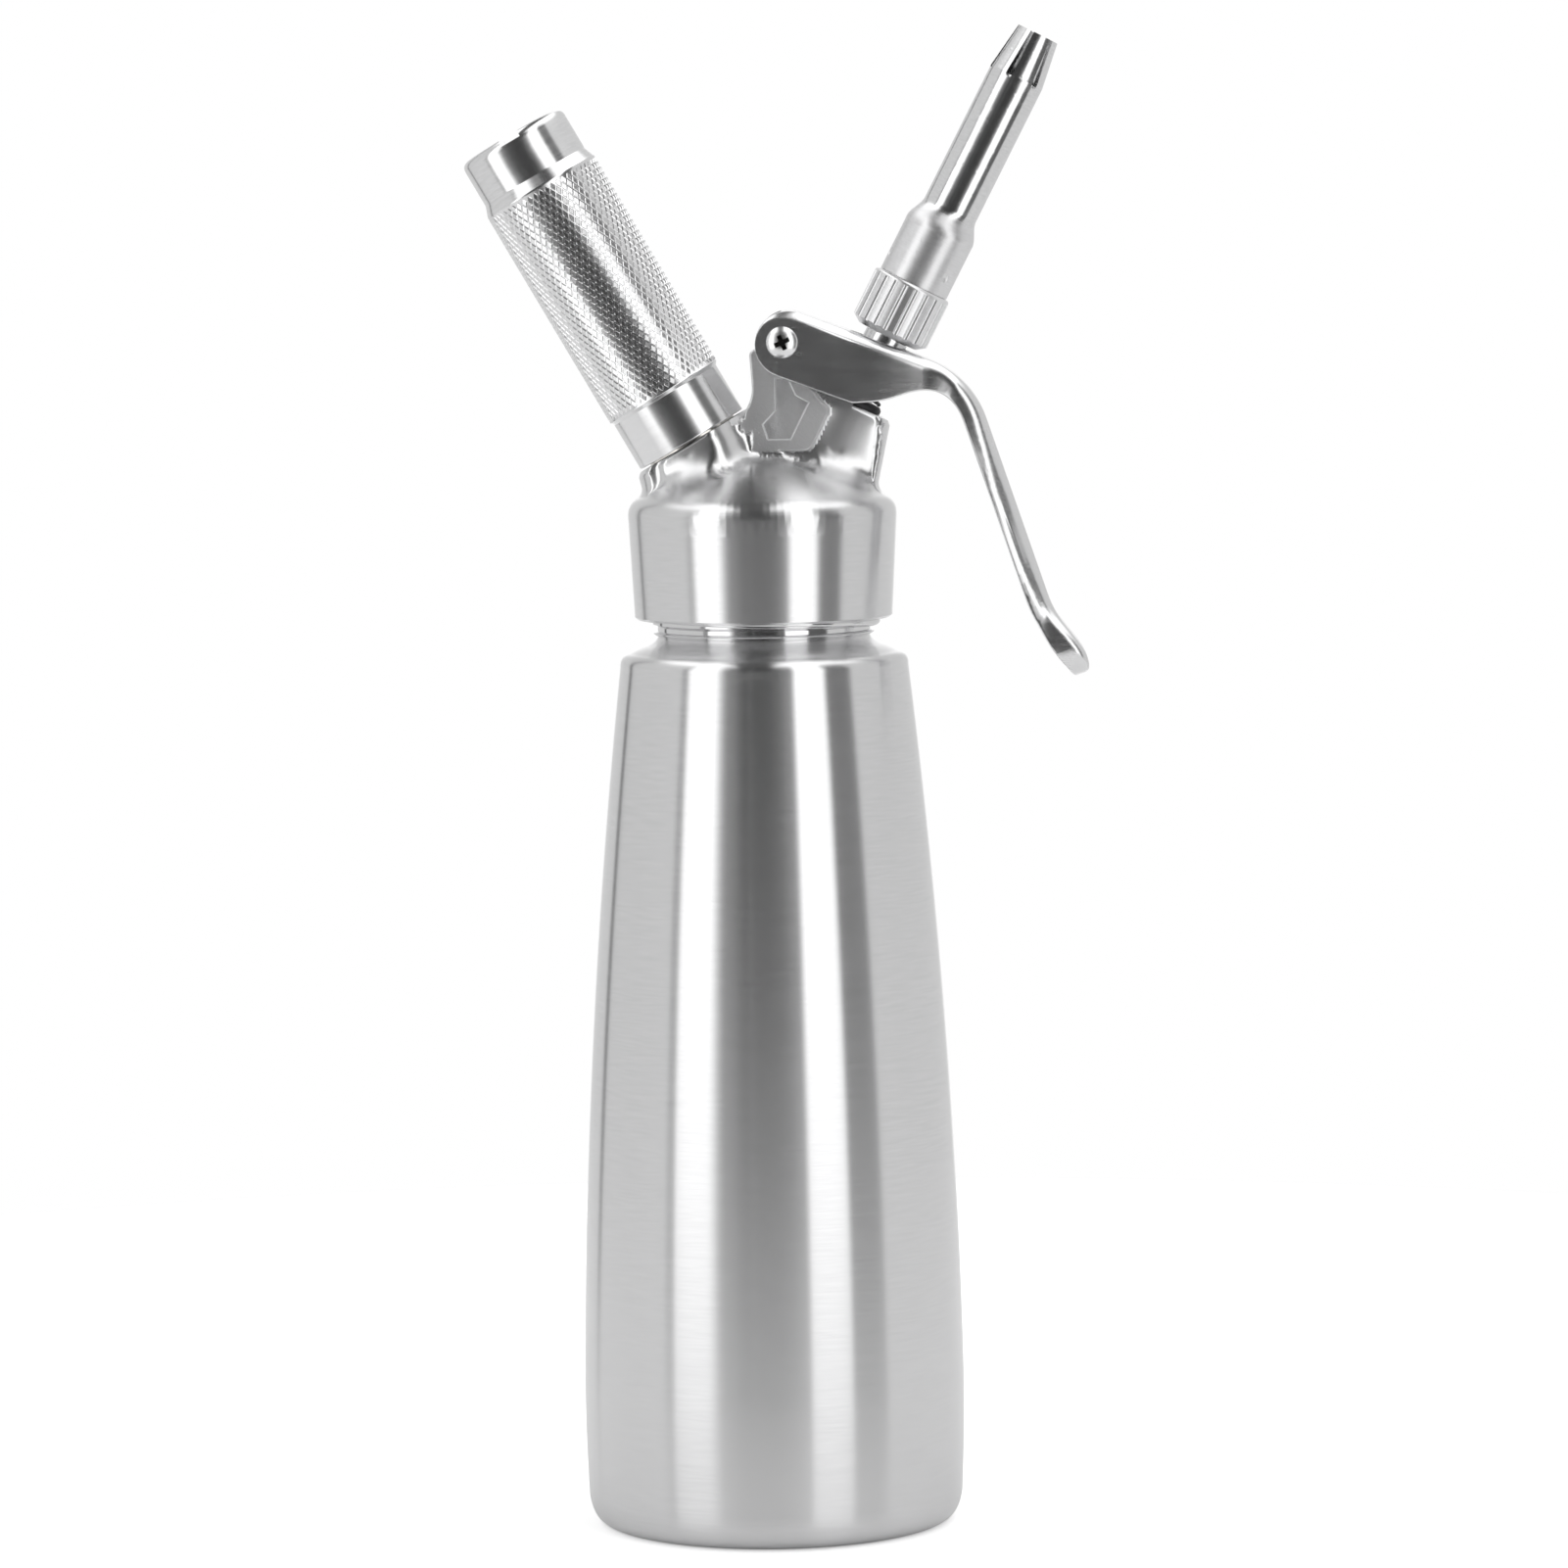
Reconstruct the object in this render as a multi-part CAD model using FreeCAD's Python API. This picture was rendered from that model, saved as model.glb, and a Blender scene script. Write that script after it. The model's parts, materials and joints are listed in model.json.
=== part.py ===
import FreeCAD, Part
import math
import os

# Whipped cream dispenser, half a litre, all metal. Millimetres.
# The origin is the middle of the bottle's base. +Z is up along the bottle, and +X points
# to the side that the lever and the nozzle lean to. The charger holder leans to -X.

Vector = FreeCAD.Vector

# --- Clearances -------------------------------------------------------------------------
RUNNING = 0.05          # radial, a shaft in its bore
LOOSE = 0.3             # radial, round faces that pass each other
SEAT = 0.1              # between flat faces of pieces that come apart
THREAD_CLEAR = 0.3      # radial, between the plain cylinders that stand for two threads

# --- Bottle -----------------------------------------------------------------------------
BODY_R = 40.3           # widest
WIDEST_Z = 30.0
FOOT_R = 36.0           # where the base turns up
FOOT_CORNER_Z = 5.5
BASE_DISH = 1.6         # the base is pushed up inside its foot ring
FOOT_RING = 3.0
MOUTH_Z = 207.6
NECK_R = 23.5
NECK_FOOT_Z = MOUTH_Z - 17.4
NECK_FOOT_ROUND = 1.6
NECK_THREAD_DEPTH = 0.7
NECK_THREAD_R = NECK_R + NECK_THREAD_DEPTH
NECK_THREAD_Z = MOUTH_Z - 14.6
SHOULDER_R = NECK_R + 7.0
SHOULDER_Z = MOUTH_Z - 25.6
SHOULDER_ROUND = 3.2
BOTTLE_WALL = 1.1
NECK_WALL = 2.0

# --- Head: collar and dome ---------------------------------------------------------------
COLLAR_WALL = 2.7
COLLAR_FLARE = 1.15         # the collar widens upwards by this much
COLLAR_BOTTOM_Z = MOUTH_Z - 15.5
COLLAR_BOTTOM_R = NECK_THREAD_R + THREAD_CLEAR + COLLAR_WALL
COLLAR_TOP_Z = MOUTH_Z + 6.3
COLLAR_TOP_R = COLLAR_BOTTOM_R + COLLAR_FLARE
COLLAR_EDGE = 0.5
DOME_INSET = 1.95
DOME_EDGE_R = COLLAR_TOP_R - DOME_INSET
DOME_EDGE_Z = MOUTH_Z + 10.0
DOME_TOP_Z = MOUTH_Z + 18.4
GASKET_THICK = 2.4
GASKET_WIDTH = 2.9
MIXING_R = 20.3         # hollow under the head
MIXING_H = 4.4
MIXING_TOP_R = 13.0
MIXING_TOP_H = 7.0
CAST_DRAFT = 15.0       # flare of boss and tower, degrees

# --- Charger side -------------------------------------------------------------------------
CHARGER_TILT = -30.0
CHARGER_CROSS_Z = DOME_TOP_Z - 21.6     # the charger axis meets the bottle axis here
HOLDER_FOOT = 29.4          # from there to the holder's open end
BOSS_GAP = 0.5
BOSS_R = 13.7
BOSS_HALF = 11.6            # half the width over the boss's flats
NECK_TIP = 4.4              # the charger's neck starts this far above the holder's open end
HOLDER_FOOT_R = 12.5
HOLDER_FOOT_H = 10.8
HOLDER_GRIP_R = 13.1
HOLDER_NOSE_R = 12.2
HOLDER_NOSE_H = 10.0
HOLDER_CONE_H = 2.4
HOLDER_EDGE = 1.4
HOLDER_TOP_WALL = 4.0
COIN_SLOT_WIDTH = 4.4
COIN_SLOT_DEPTH = 1.4
CHARGER_R = 8.95
CHARGER_LENGTH = 65.5
CHARGER_NECK_R = 4.3
CHARGER_NECK_H = 8.5
CHARGER_SHOULDER_H = 9.0
CHARGER_WALL = 1.6
STUD_R = 10.2
STUD_H = 9.4
STUD_ROOT_R = 7.0
STUD_ROOT_H = 7.5
PIN_R = 0.9
PIN_REACH = 2.6             # how far the pin goes into the charger's neck
PIN_FOOT_R = 3.0
CHARGER_SEAL_THICK = 1.6
INLET_FACE = 15.2           # below the holder's open end, along the axis
INLET_PORT_R = 5.6
INLET_SPIGOT_R = 3.0
INLET_SPIGOT_H = 5.0
INLET_HEX = 8.6             # across flats
INLET_HEX_H = 2.2
INLET_NIPPLE_R = 2.3
INLET_NIPPLE_H = 4.6
INLET_CAP_WALL = 1.0
INLET_SEAL_THICK = 0.8
GAS_R = 0.7

# --- Valve side ---------------------------------------------------------------------------
VALVE_TILT = 27.3
VALVE_CROSS_Z = DOME_TOP_Z - 26.9       # the valve axis meets the bottle axis here
TOWER_TOP = 42.6            # from there to the tower's top face
TOWER_TOP_R = 8.9
TOWER_HALF = 6.7            # half the width over the tower's flats
TOWER_BORE_R = 4.9
TOWER_BORE_H = 20.2
SEAT_PORT_R = 7.0
SEAT_PORT_H = 16.0
GUIDE_FLANGE_R = 5.9
GUIDE_FLANGE_H = 1.5
GUIDE_ROOT_H = 8.6
STEM_R = 3.4
STEM_BORE_R = 2.0
STEM_COLLAR_R = 4.7
STEM_COLLAR_TOP = 15.6      # above the tower's top face, and so on below
STEM_FLANGE_R = 6.4
STEM_FLANGE_TOP = 11.45
STEM_FLANGE_H = 1.8
STEM_TOP = 25.2
STEM_THREAD_R = 4.2
STEM_LOW_R = 2.6
STEM_HOLE_R = 1.2
STEM_HOLE_Z = -16.4
VALVE_SEAL_R = 6.3
VALVE_SEAL_THICK = 2.0
RETAINER_R = 4.7
RETAINER_H = 2.6
O_RING_THICK = 1.7
SPRING_WIRE_R = 0.42
SPRING_TURNS = 4.5

# --- Nozzle -------------------------------------------------------------------------------
NUT_BOTTOM = 15.8
NUT_H = 12.2
NUT_R = 8.5
NUT_FLUTES = 22
NUT_FLUTE_DEPTH = 0.35
NUT_CHAMFER = 1.9           # radial; the cone under the flutes
NUT_CHAMFER_H = 1.3
NUT_TOP_EDGE = 0.8
NUT_SPIGOT_H = 6.0
NUT_WEB = 1.4
NOZZLE_SEAL_THICK = 1.0
TIP_BELL_R = 7.65
TIP_BELL_H = 11.6
TIP_CONE_H = 5.6
TIP_TUBE_R = 6.0
TIP_END_R = 4.55
TIP_FINGER_H = 10.0
TIP_TOP = 86.2
TIP_WALL = 0.8
DIMPLES = 3                 # the tip is punched onto the nut's spigot
DIMPLE_H = 3.9              # above the tip's lower rim
DIMPLE_BALL_R = 1.5
DIMPLE_DEPTH = 0.35
DIMPLE_TURN = 15.0
TIP_FINGERS = 6
SLIT_ROOT_W = 1.5
SLIT_END_W = 0.7
SLIT_TURN = -17.0

# --- Lever --------------------------------------------------------------------------------
PIVOT_X = 4.8
PIVOT_Z = DOME_TOP_Z + 24.15
LEVER_SLOPE = 20.7          # the yoke's top falls to +X by this angle
LEVER_END_R = 7.05
LEVER_END_SHIFT = 1.45      # the round end's centre lies this far past the pivot
LEVER_CORNER = 39.55        # from the pivot to the corner of yoke and arm
LEVER_BEND_R = 20.5
LEVER_BEND = 50.7           # turn from yoke to arm, degrees
ARM_DEPTH = 4.75
ARM_STRAIGHT = 49.0
LEVER_WEB = 1.8
WEB_START = -2.5
LEVER_CHEEK = 1.5
LEVER_HALF = 8.9            # half the yoke's width
ARM_HALF = 6.4
LEVER_TIP_HALF = 7.6
LEVER_EDGE = 0.35           # radii of the long edges: on the cheeks' rim,
LEVER_END_ROUND = 0.8       # round the pivot end,
LEVER_ROUND = 2.7           # along the yoke's top,
ARM_ROUND = 4.0             # down the arm
TIP_ROUND = 1.2             # and at the tip
CHEEK_BORE_R = 2.6
STEM_SLOT_HALF = 5.1
STEM_SLOT_LENGTH = 13.2
SCREW_HEAD_R = 3.3
SCREW_HEAD_H = 1.5
SCREW_R = 1.5
SLEEVE_R = 2.55

# --- Pivot post ---------------------------------------------------------------------------
POST_HALF = 7.1
POST_TOP_R = 5.0
POCKET_DEPTH = 1.7
SHOULDER_EDGE = 0.8
BOSS_RIM = 0.6              # radii: the edges of the boss's flats,
BOSS_INNER_ROUND = 5.0      # its long edge beside the post,
TOWER_RIM = 1.1             # the edges of the tower's flats,
POST_RIM = 0.45             # of the post's,
BOSS_FOOT_ROUND = 2.0       # and the blends into the dome
TOWER_FOOT_ROUND = 2.5
TOUCH = 0.001               # points this close are one


def point(pair):
    """A point of an outline in the XZ plane."""
    return Vector(pair[0], 0, pair[1])


def face_of(start, *steps):
    """A closed face in the XZ plane. A step is an end point, a pair of points for an arc
    (through, end), or a list of points for a smooth curve."""
    here = point(start)
    edges = []
    for step in steps:
        if isinstance(step, list):
            points = [here] + [point(p) for p in step]
            curve = Part.BSplineCurve()
            curve.interpolate(points)
            edges.append(curve.toShape())
            here = points[-1]
        elif isinstance(step[0], tuple):
            end = point(step[1])
            edges.append(Part.Arc(here, point(step[0]), end).toShape())
            here = end
        else:
            end = point(step)
            edges.append(Part.makeLine(here, end))
            here = end
    if here.distanceToPoint(point(start)) > 1e-7:
        edges.append(Part.makeLine(here, point(start)))
    return Part.Face(Part.Wire(edges))


def turned(start, *steps):
    """A solid of revolution about Z, from an outline of (radius, height) points."""
    return face_of(start, *steps).revolve(Vector(0, 0, 0), Vector(0, 0, 1), 360)


def plate(half, start, *steps):
    """An outline in the XZ plane, thickened to both sides."""
    face = face_of(start, *steps)
    face.translate(Vector(0, -half, 0))
    return face.extrude(Vector(0, 2 * half, 0))


def ring(inner, outer, bottom, top):
    """A plain ring about Z."""
    return turned((inner, bottom), (outer, bottom), (outer, top), (inner, top))


def rod(radius, bottom, top):
    """A plain cylinder about Z."""
    return Part.makeCylinder(radius, top - bottom, Vector(0, 0, bottom))


def on_axis(shape, cross_z, distance, tilt):
    """Stand a shape made about Z on an axis that crosses the bottle's at cross_z."""
    lean = math.radians(tilt)
    foot = Vector(distance * math.sin(lean), 0, cross_z + distance * math.cos(lean))
    place = FreeCAD.Placement(foot, FreeCAD.Rotation(Vector(0, 1, 0), tilt))
    placed = shape.copy()
    placed.Placement = place.multiply(shape.Placement)
    return placed


def on_charger_axis(shape):
    """Heights are measured from the holder's open end, outwards."""
    return on_axis(shape, CHARGER_CROSS_Z, HOLDER_FOOT, CHARGER_TILT)


def on_valve_axis(shape):
    """Heights are measured from the tower's top face, outwards."""
    return on_axis(shape, VALVE_CROSS_Z, TOWER_TOP, VALVE_TILT)


def flared(top_r, top, bottom, half):
    """A drafted round boss with two flats."""
    foot_r = top_r + (top - bottom) * math.tan(math.radians(CAST_DRAFT))
    edge = SHOULDER_EDGE
    body = turned((0, bottom), (foot_r, bottom), (top_r, top - edge), (top_r - edge, top), (0, top))
    slab = Part.makeBox(4 * foot_r, 2 * half, 2 * (top - bottom),
                        Vector(-2 * foot_r, -half, bottom - (top - bottom) / 2))
    return body.common(slab)


# --- Bottle -------------------------------------------------------------------------------

def body_curve(inset):
    """The bottle's long side from foot to shoulder, moved inwards by inset."""
    drop = BODY_R - SHOULDER_R
    span = SHOULDER_Z - WIDEST_Z
    points = []
    for share in (0.0, 0.25, 0.5, 0.75, 1.0):
        fall = drop * (0.22 * share + 0.78 * share ** 2)
        points.append((BODY_R - fall - inset, WIDEST_Z + span * share))
    return points


def bottle():
    shoulder_end = (SHOULDER_R - SHOULDER_ROUND, SHOULDER_Z + 1.25 * SHOULDER_ROUND)
    shoulder_mid = (SHOULDER_R - 0.25 * SHOULDER_ROUND, SHOULDER_Z + 0.8 * SHOULDER_ROUND)
    neck_start = (NECK_R + NECK_FOOT_ROUND, NECK_FOOT_Z - NECK_FOOT_ROUND)
    neck_mid = (NECK_R + 0.29 * NECK_FOOT_ROUND, NECK_FOOT_Z - 0.71 * NECK_FOOT_ROUND)
    step = NECK_THREAD_R - NECK_R
    bore_r = NECK_R - NECK_WALL
    lip_r = NECK_R - NECK_WALL / 2
    wall = BOTTLE_WALL
    inner = list(reversed(body_curve(wall)))
    inside_mid = (SHOULDER_R - wall - 0.25 * SHOULDER_ROUND, SHOULDER_Z + 0.8 * SHOULDER_ROUND - wall)
    inside_end = (SHOULDER_R - SHOULDER_ROUND - wall, SHOULDER_Z + 1.25 * SHOULDER_ROUND - wall)
    inside_foot_z = FOOT_CORNER_Z + wall
    inside_foot_r = FOOT_R - FOOT_RING
    floor_z = BASE_DISH + wall
    return turned(
        (0, BASE_DISH),
        (FOOT_R - 2 * FOOT_RING, BASE_DISH),
        (FOOT_R - FOOT_RING, 0),
        (FOOT_R, 0),
        ((BODY_R - 1.9, 1.7), (BODY_R - 0.6, FOOT_CORNER_Z)),
        [body_curve(0)[0]] + body_curve(0)[1:],
        (shoulder_mid, shoulder_end),
        neck_start,
        (neck_mid, (NECK_R, NECK_FOOT_Z)),
        (NECK_R, NECK_THREAD_Z - step),
        (NECK_THREAD_R, NECK_THREAD_Z),
        (NECK_THREAD_R, MOUTH_Z - NECK_WALL),
        (NECK_THREAD_R - step, MOUTH_Z - NECK_WALL + step),
        (NECK_R, MOUTH_Z - NECK_WALL / 2),
        ((lip_r, MOUTH_Z), (bore_r, MOUTH_Z - NECK_WALL / 2)),
        (bore_r, NECK_FOOT_Z - wall),
        inside_end,
        (inside_mid, inner[0]),
        inner[1:],
        [(BODY_R - 0.6 - wall, inside_foot_z)],
        ((BODY_R - 1.9 - wall, BASE_DISH + wall + 1.2), (inside_foot_r, floor_z)),
        (0, floor_z),
    )


# --- Head ---------------------------------------------------------------------------------

def gasket_z():
    """Underside of the head gasket, on the bottle's mouth."""
    return MOUTH_Z + SEAT


def ceiling_z():
    """The face in the head that the gasket bears on."""
    return gasket_z() + GASKET_THICK + SEAT


def collar_bore_r():
    return NECK_THREAD_R + THREAD_CLEAR


def collar_and_dome():
    edge = COLLAR_EDGE
    mid_r = (COLLAR_TOP_R + DOME_EDGE_R) / 2 + 0.42
    mid_z = (COLLAR_TOP_Z + DOME_EDGE_Z) / 2 + 0.38
    dome_mid = (0.72 * DOME_EDGE_R, DOME_TOP_Z - 0.51 * (DOME_TOP_Z - DOME_EDGE_Z))
    return turned(
        (collar_bore_r(), COLLAR_BOTTOM_Z),
        (COLLAR_BOTTOM_R - edge, COLLAR_BOTTOM_Z),
        (COLLAR_BOTTOM_R, COLLAR_BOTTOM_Z + edge),
        (COLLAR_TOP_R, COLLAR_TOP_Z),
        ((mid_r, mid_z), (DOME_EDGE_R, DOME_EDGE_Z)),
        (dome_mid, (0, DOME_TOP_Z)),
        (0, ceiling_z()),
        (collar_bore_r(), ceiling_z()),
    )


def valve_point(height, side):
    """A point beside the valve axis: height above the tower's top face, side to +X."""
    lean = math.radians(VALVE_TILT)
    reach = TOWER_TOP + height
    return (reach * math.sin(lean) + side * math.cos(lean),
            VALVE_CROSS_Z + reach * math.cos(lean) - side * math.sin(lean))


def charger_point(height, side):
    """A point beside the charger axis: height above the holder's open end, side to -X."""
    lean = math.radians(-CHARGER_TILT)
    reach = HOLDER_FOOT + height
    return (-reach * math.sin(lean) - side * math.cos(lean),
            CHARGER_CROSS_Z + reach * math.cos(lean) - side * math.sin(lean))


def pivot_point(distance, angle):
    """A point at an angle from +X round the lever's pivot."""
    turn = math.radians(angle)
    return (PIVOT_X + distance * math.cos(turn), PIVOT_Z + distance * math.sin(turn))


def tower_web():
    """The wall that joins the valve tower to the post."""
    tower_left = valve_point(0, -TOWER_TOP_R)
    return plate(
        TOWER_HALF,
        (charger_point(-4, 0)[0], DOME_TOP_Z - 6),
        (PIVOT_X - 6, DOME_TOP_Z + 6),
        (tower_left[0] - 4, tower_left[1]),
        tower_left,
        valve_point(0, 0),
        valve_point(-TOWER_BORE_H, 0),
    )


def post():
    """The bracket between charger boss and tower that carries the lever."""
    left = PIVOT_X - 6.9
    return plate(
        POST_HALF,
        (PIVOT_X - 6.4, DOME_TOP_Z + 1.6),
        (PIVOT_X - 6.0, DOME_TOP_Z + 5.9),
        (PIVOT_X - 8.7, DOME_TOP_Z + 5.9),
        charger_point(-BOSS_GAP, -BOSS_R + 0.6),
        ((left + 0.1, PIVOT_Z - 11.9), (left + 0.45, PIVOT_Z - 9.4)),
        (left, PIVOT_Z - 2.8),
        ((left + 0.3, PIVOT_Z - 2.0), (left + 1.1, PIVOT_Z - 1.7)),
        pivot_point(POST_TOP_R, 190),
        (pivot_point(POST_TOP_R, 80), pivot_point(POST_TOP_R, -20)),
        (PIVOT_X + 4.9, PIVOT_Z - 8.6),
        (PIVOT_X + 8.4, PIVOT_Z - 12.9),
        ((PIVOT_X + 9.4, PIVOT_Z - 13.8), (PIVOT_X + 9.5, PIVOT_Z - 15.1)),
        (PIVOT_X + 6.6, PIVOT_Z - 21.0),
        ((PIVOT_X + 5.5, PIVOT_Z - 22.4), (PIVOT_X + 3.7, PIVOT_Z - 22.7)),
    )


def pocket(side):
    """The rough recess in each face of the post."""
    face = face_of(
        (PIVOT_X - 1.4, PIVOT_Z - 7.6),
        (PIVOT_X - 1.4, PIVOT_Z - 14.4),
        (PIVOT_X - 4.1, PIVOT_Z - 17.2),
        (PIVOT_X - 3.1, PIVOT_Z - 20.3),
        (PIVOT_X + 1.4, PIVOT_Z - 20.3),
        (PIVOT_X + 5.2, PIVOT_Z - 12.7),
        (PIVOT_X + 2.5, PIVOT_Z - 11.2),
        (PIVOT_X + 0.9, PIVOT_Z - 7.6),
    )
    face.translate(Vector(0, side * (POST_HALF - POCKET_DEPTH), 0))
    return face.extrude(Vector(0, side * 2 * POCKET_DEPTH, 0))


def middle_of(edge):
    return edge.valueAt((edge.FirstParameter + edge.LastParameter) / 2)


def flat_rims(shape, half, above):
    """The edges round a casting's two flats, higher than a given height."""
    rims = []
    for edge in shape.Edges:
        middle = middle_of(edge)
        points = [middle] + [vertex.Point for vertex in edge.Vertexes]
        on_flat = all(abs(abs(p.y) - half) < TOUCH for p in points)
        if on_flat and middle.z > above + TOUCH:
            rims.append(edge)
    return rims


def foot_edges(shape, dome, start, end):
    """The edges where castings stand on the dome, from start to end along X."""
    skin = [face for face in dome.Faces if face.BoundBox.ZMax > DOME_TOP_Z - LOOSE][0]
    edges = []
    for edge in shape.Edges:
        middle = middle_of(edge)
        inside = math.hypot(middle.x, middle.y) < DOME_EDGE_R - LOOSE
        off_seam = any(abs(vertex.Point.y) > TOUCH for vertex in edge.Vertexes)
        if inside and off_seam and start < middle.x < end:
            if skin.distToShape(Part.Vertex(middle))[0] < TOUCH:
                edges.append(edge)
    return edges


def boss():
    """The drafted boss that the charger holder stands on."""
    block = flared(BOSS_R, -BOSS_GAP, -INLET_FACE, BOSS_HALF)
    inner = [e for e in flat_rims(block, BOSS_HALF, -INLET_FACE) if middle_of(e).x > BOSS_R / 2]
    block = block.makeFillet(BOSS_INNER_ROUND, inner)
    outer = [e for e in flat_rims(block, BOSS_HALF, -INLET_FACE) if middle_of(e).x < BOSS_R / 2]
    return on_charger_axis(block.makeFillet(BOSS_RIM, outer))


def tower():
    """The drafted tower that holds the valve."""
    block = flared(TOWER_TOP_R, 0, -TOWER_BORE_H, TOWER_HALF)
    return on_valve_axis(block.makeFillet(TOWER_RIM, flat_rims(block, TOWER_HALF, -TOWER_BORE_H)))


def casting():
    """The head before it is bored."""
    dome = collar_and_dome()
    bracket = post().cut([pocket(1), pocket(-1)])
    bracket = bracket.makeFillet(POST_RIM, flat_rims(bracket, POST_HALF, 0))
    gas_side = dome.fuse(boss()).removeSplitter()
    gas_side = gas_side.makeFillet(BOSS_FOOT_ROUND, foot_edges(gas_side, dome, -DOME_EDGE_R, PIVOT_X))
    valve_side = dome.fuse([tower(), tower_web(), bracket]).removeSplitter()
    valve_side = valve_side.makeFillet(TOWER_FOOT_ROUND,
                                       foot_edges(valve_side, dome, -DOME_EDGE_R, DOME_EDGE_R))
    return gas_side.fuse(valve_side).removeSplitter()


def head():
    body = casting()
    holder_way = rod(HOLDER_GRIP_R + LOOSE, -BOSS_GAP, holder_length())
    spring_way = rod(STEM_FLANGE_R + LOOSE, 0, STEM_COLLAR_TOP)
    top_z = ceiling_z()
    cavity = turned((0, COLLAR_BOTTOM_Z), (collar_bore_r(), COLLAR_BOTTOM_Z), (collar_bore_r(), top_z),
                    (MIXING_R, top_z), (MIXING_R, top_z + MIXING_H - 2),
                    (MIXING_TOP_R, top_z + MIXING_TOP_H - 1), (0, top_z + MIXING_TOP_H - 1))
    cuts = [
        cavity,
        on_charger_axis(holder_way),
        on_valve_axis(spring_way),
        on_charger_axis(rod(STUD_ROOT_R + RUNNING, -BOSS_GAP - STUD_ROOT_H - SEAT, 0)),
        on_charger_axis(rod(INLET_SPIGOT_R + RUNNING, -INLET_FACE - 1, -BOSS_GAP - STUD_ROOT_H)),
        on_charger_axis(rod(INLET_PORT_R, -INLET_FACE - SEAT_PORT_H, -INLET_FACE)),
        on_valve_axis(rod(TOWER_BORE_R, -TOWER_BORE_H - 1, 1)),
        on_valve_axis(rod(SEAT_PORT_R, -TOWER_BORE_H - SEAT_PORT_H, -TOWER_BORE_H)),
        pivot_rod(SLEEVE_R + RUNNING, POST_HALF + 1),
        pocket(1),
        pocket(-1),
    ]
    return body.cut(cuts).removeSplitter()


def head_gasket():
    outer = collar_bore_r() - LOOSE
    return ring(outer - GASKET_WIDTH, outer, gasket_z(), gasket_z() + GASKET_THICK)


# --- Lever pivot --------------------------------------------------------------------------

def pivot_rod(radius, half):
    """A cylinder along Y on the pivot axis, centred on the lever's middle plane."""
    return Part.makeCylinder(radius, 2 * half, Vector(PIVOT_X, -half, PIVOT_Z), Vector(0, 1, 0))


def along_pivot(shape):
    """Lay a shape made about Z on the pivot axis, its +Z to the front."""
    placed = shape.copy()
    placed.Placement = FreeCAD.Placement(Vector(PIVOT_X, 0, PIVOT_Z),
                                         FreeCAD.Rotation(Vector(1, 0, 0), 90))
    return placed


def screw_seat():
    """Height of the cheek's outer face, with the gap under a screw head."""
    return LEVER_HALF + SEAT


def lever_screw():
    seat = screw_seat()
    edge = 0.35 * SCREW_HEAD_H
    body = turned((0, -LEVER_HALF + 3), (SCREW_R, -LEVER_HALF + 3), (SCREW_R, seat), (SCREW_HEAD_R, seat),
                  (SCREW_HEAD_R, seat + edge),
                  ((0.86 * SCREW_HEAD_R, seat + 0.85 * SCREW_HEAD_H), (0.5 * SCREW_HEAD_R, seat + SCREW_HEAD_H)),
                  (0, seat + SCREW_HEAD_H))
    return along_pivot(body)


def lever_sleeve_nut():
    seat = screw_seat()
    body = turned((0, -seat - SCREW_HEAD_H), (0.6 * SCREW_HEAD_R, -seat - SCREW_HEAD_H),
                  ((0.88 * SCREW_HEAD_R, -seat - 0.8 * SCREW_HEAD_H), (SCREW_HEAD_R, -seat - 0.3 * SCREW_HEAD_H)),
                  (SCREW_HEAD_R, -seat), (SLEEVE_R, -seat), (SLEEVE_R, seat - SEAT),
                  (SCREW_R + RUNNING, seat - SEAT), (SCREW_R + RUNNING, -LEVER_HALF + 2), (0, -LEVER_HALF + 2))
    return along_pivot(body)


# --- Lever --------------------------------------------------------------------------------

def yoke_point(along, up):
    """A point of the yoke, along its top face and square to it, from the pivot."""
    slope = math.radians(LEVER_SLOPE)
    return (PIVOT_X + along * math.cos(slope) + up * math.sin(slope),
            PIVOT_Z - along * math.sin(slope) + up * math.cos(slope))


def arm_point(along, out):
    """A point of the arm, along its outer face from the corner, and outwards from it."""
    lean = math.radians(LEVER_SLOPE + LEVER_BEND)
    corner = yoke_point(LEVER_CORNER, LEVER_END_R)
    return (corner[0] + along * math.cos(lean) + out * math.sin(lean),
            corner[1] - along * math.sin(lean) + out * math.cos(lean))


def bend_mid(inset):
    """The middle of the bend's arc, inset from the outer face."""
    sag = LEVER_BEND_R / math.cos(math.radians(LEVER_BEND / 2)) - (LEVER_BEND_R - inset)
    slope = math.radians(LEVER_SLOPE + LEVER_BEND / 2)
    corner = yoke_point(LEVER_CORNER, LEVER_END_R)
    return (corner[0] - sag * math.sin(slope), corner[1] - sag * math.cos(slope))


def bend_length():
    """From the corner to where the bend's arc starts and ends."""
    return LEVER_BEND_R * math.tan(math.radians(LEVER_BEND / 2))


def around_end(angle):
    """A point of the yoke's round end, by its angle from the top."""
    turn = math.radians(angle)
    return yoke_point(LEVER_END_SHIFT - LEVER_END_R * math.sin(turn), LEVER_END_R * math.cos(turn))


def smooth(first, last, points, first_way, last_way):
    """A smooth curve between two points of the XZ plane, with its ways in and out."""
    curve = Part.BSplineCurve()
    curve.interpolate([point(p) for p in [first] + points + [last]],
                      InitialTangent=first_way, FinalTangent=last_way)
    return curve.toShape()


def way(angle):
    """A direction in the XZ plane, as an angle below +X."""
    turn = math.radians(angle)
    return Vector(math.cos(turn), 0, -math.sin(turn))


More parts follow.
